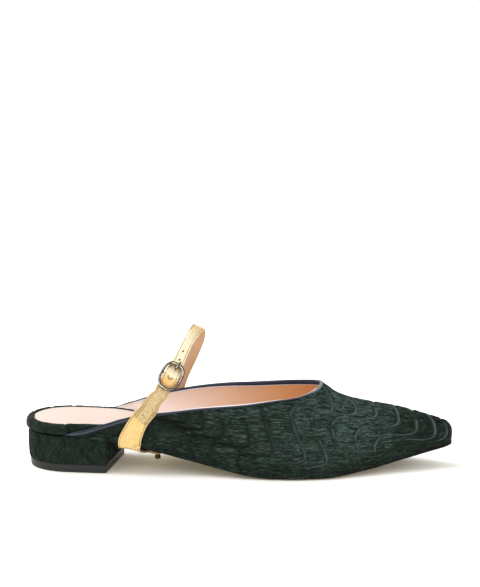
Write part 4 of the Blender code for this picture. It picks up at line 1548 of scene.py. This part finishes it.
def make_buckle():
    """Oval frame with its bar."""
    w = full_turn(240)
    up, across = (np.sign(v) * np.abs(v) ** FRAME_POWER for v in (np.cos(w), np.sin(w)))
    frame_line = table(FRAME_LONG * up, FRAME_WIDE * across, 0.0)
    points, faces, highlight = wire(resample(frame_line, 0.4, closed=True), FRAME_R, 18, 0.85, closed=True)
    bar_line = [(0.0, y, BAR_N) for y in np.linspace(-FRAME_WIDE, FRAME_WIDE, 12)]
    bar, bar_faces, bar_highlight = wire(bar_line, BAR_R, 14)
    body, *ends = [f + len(points) for f in bar_faces]
    faces = [np.concatenate([faces[0], body]), *ends]
    piece(
        "buckle_frame", np.concatenate([points, bar]), faces, NICKEL, stands_for=("buckle",),
        fields={"highlight": np.concatenate([highlight, bar_highlight])},
    )


def make_prong():
    """Prong lying over the frame, thinner towards its rounded tip."""
    rows = curve(PRONG, 0.25)
    size = 0.62 - 0.12 * np.linspace(0, 1, len(rows)) ** 2
    size[-1] *= 0.4
    size[-2] *= 0.85
    points, faces, highlight = wire(rows, size, 12)
    piece(
        "buckle_tongue", points, faces, NICKEL, stands_for=("buckle_prong",),
        fields={"highlight": highlight},
    )


# Radius, height from the stud's own place: its flange and neck
STUD_NECK = [
    (0.0, 0.05), (1.9, 0.05), (2.2, -0.05), (2.25, -0.2), (2.1, -0.42), (1.4, -0.5), (1.0, -0.6),
    (0.95, -0.75),
]
BALL_R = 1.85
BALL_Z = -2.25


def make_stud():
    """Ball stud under the waist, turned about an upright axis."""
    ball = np.radians(np.linspace(32, 180, 17))
    profile = STUD_NECK + [(BALL_R * math.sin(w), BALL_Z + BALL_R * math.cos(w)) for w in ball]
    w = full_turn(36)
    x, y, z = STUD_AT
    grid = np.stack([table(x + r * np.cos(w), y + r * np.sin(w), z + up) for r, up in profile])
    # painted highlight in bands up the stud's ball and neck
    highlight = np.abs(np.sin((grid[..., 2] - z - BALL_Z) * 1.4)).ravel()
    faces = [quads(ringed(numbers(grid.shape[:2])))]
    piece("stud", grid, faces, BRASS, stands_for=("strap_stud",), fields={"highlight": highlight})


# ---- room, light and camera

FLOOR_HALF = 40.0
WHITE = (1.0, 1.0, 1.0, 1)
WARM_GLOW = (1.0, 0.82, 0.44, 1)


def make_room():
    """White floor that glows as painted light, warm near the shoe to lift and warm its shadows and white far
    off, in a white room.
    """
    mesh = bpy.data.meshes.new("floor")
    corners = [(x * FLOOR_HALF, y * FLOOR_HALF, 0) for x, y in ((-1, -1), (1, -1), (1, 1), (-1, 1))]
    mesh.from_pydata(corners, [], [(0, 1, 2, 3)])
    floor = bpy.data.objects.new("floor", mesh)
    bpy.context.scene.collection.objects.link(floor)
    made, tree, shader = new_material("white_floor", (0.90, 0.90, 0.885), 0.9, Specular_IOR_Level=0.0)
    # painted light: the floor's own glow, warm near the shoe and white from 2 m out
    far = add(tree, "ShaderNodeVectorMath", {"operation": "LENGTH"}, i0=place_on(tree)).outputs["Value"]
    glow = mixed(tree, to_range(tree, far, 0.6, 2.0, 0.0, 1.0), WARM_GLOW, WHITE)
    tree.links.new(glow, shader.inputs["Emission Color"])
    shader.inputs["Emission Strength"].default_value = 0.12
    mesh.materials.append(made)
    world = bpy.data.worlds.new("studio")
    world.use_nodes = True
    background = world.node_tree.nodes["Background"].inputs
    background["Color"].default_value = WHITE
    background["Strength"].default_value = 1.0
    bpy.context.scene.world = world


def add_light(name, place, aim, size, power):
    """A soft rectangle of light, in metres and watts."""
    data = bpy.data.lights.new(name, "AREA")
    data.shape = "RECTANGLE"
    data.size, data.size_y = size
    data.energy = power
    light = bpy.data.objects.new(name, data)
    light.location = place
    light.rotation_euler = (Vector(aim) - Vector(place)).to_track_quat("-Z", "Y").to_euler()
    bpy.context.scene.collection.objects.link(light)


def make_lights():
    """A softbox above and behind the heel, and a weaker one beyond the toe on the outer side."""
    add_light("softbox_above", (-0.40, 0.05, 1.15), (0, 0, 0), (0.7, 0.5), 11)
    add_light("softbox_front", (0.75, -1.35, 0.85), (0, 0, 0.05), (1.0, 0.8), 4)


def make_camera():
    """Long lens from the outer side, a little above the shoe."""
    data = bpy.data.cameras.new("camera")
    data.lens = 110.48
    data.sensor_width = 36.0
    data.clip_end = 200
    camera = bpy.data.objects.new("camera", data)
    camera.location = (0.0572, -1.0760, 0.2937)
    camera.rotation_euler = np.radians((90 - 9.854, 0, 3.020))
    bpy.context.scene.collection.objects.link(camera)
    bpy.context.scene.camera = camera


for make in (
    make_camera, make_room, make_lights, make_upper_skin, make_upper_lining, make_topline, make_heel_cover,
    make_heel_wrap, make_sock, make_top_piece, make_sole, make_straps, make_buckle, make_prong, make_stud,
):
    make()
bpy.context.scene.view_settings.view_transform = "Standard"
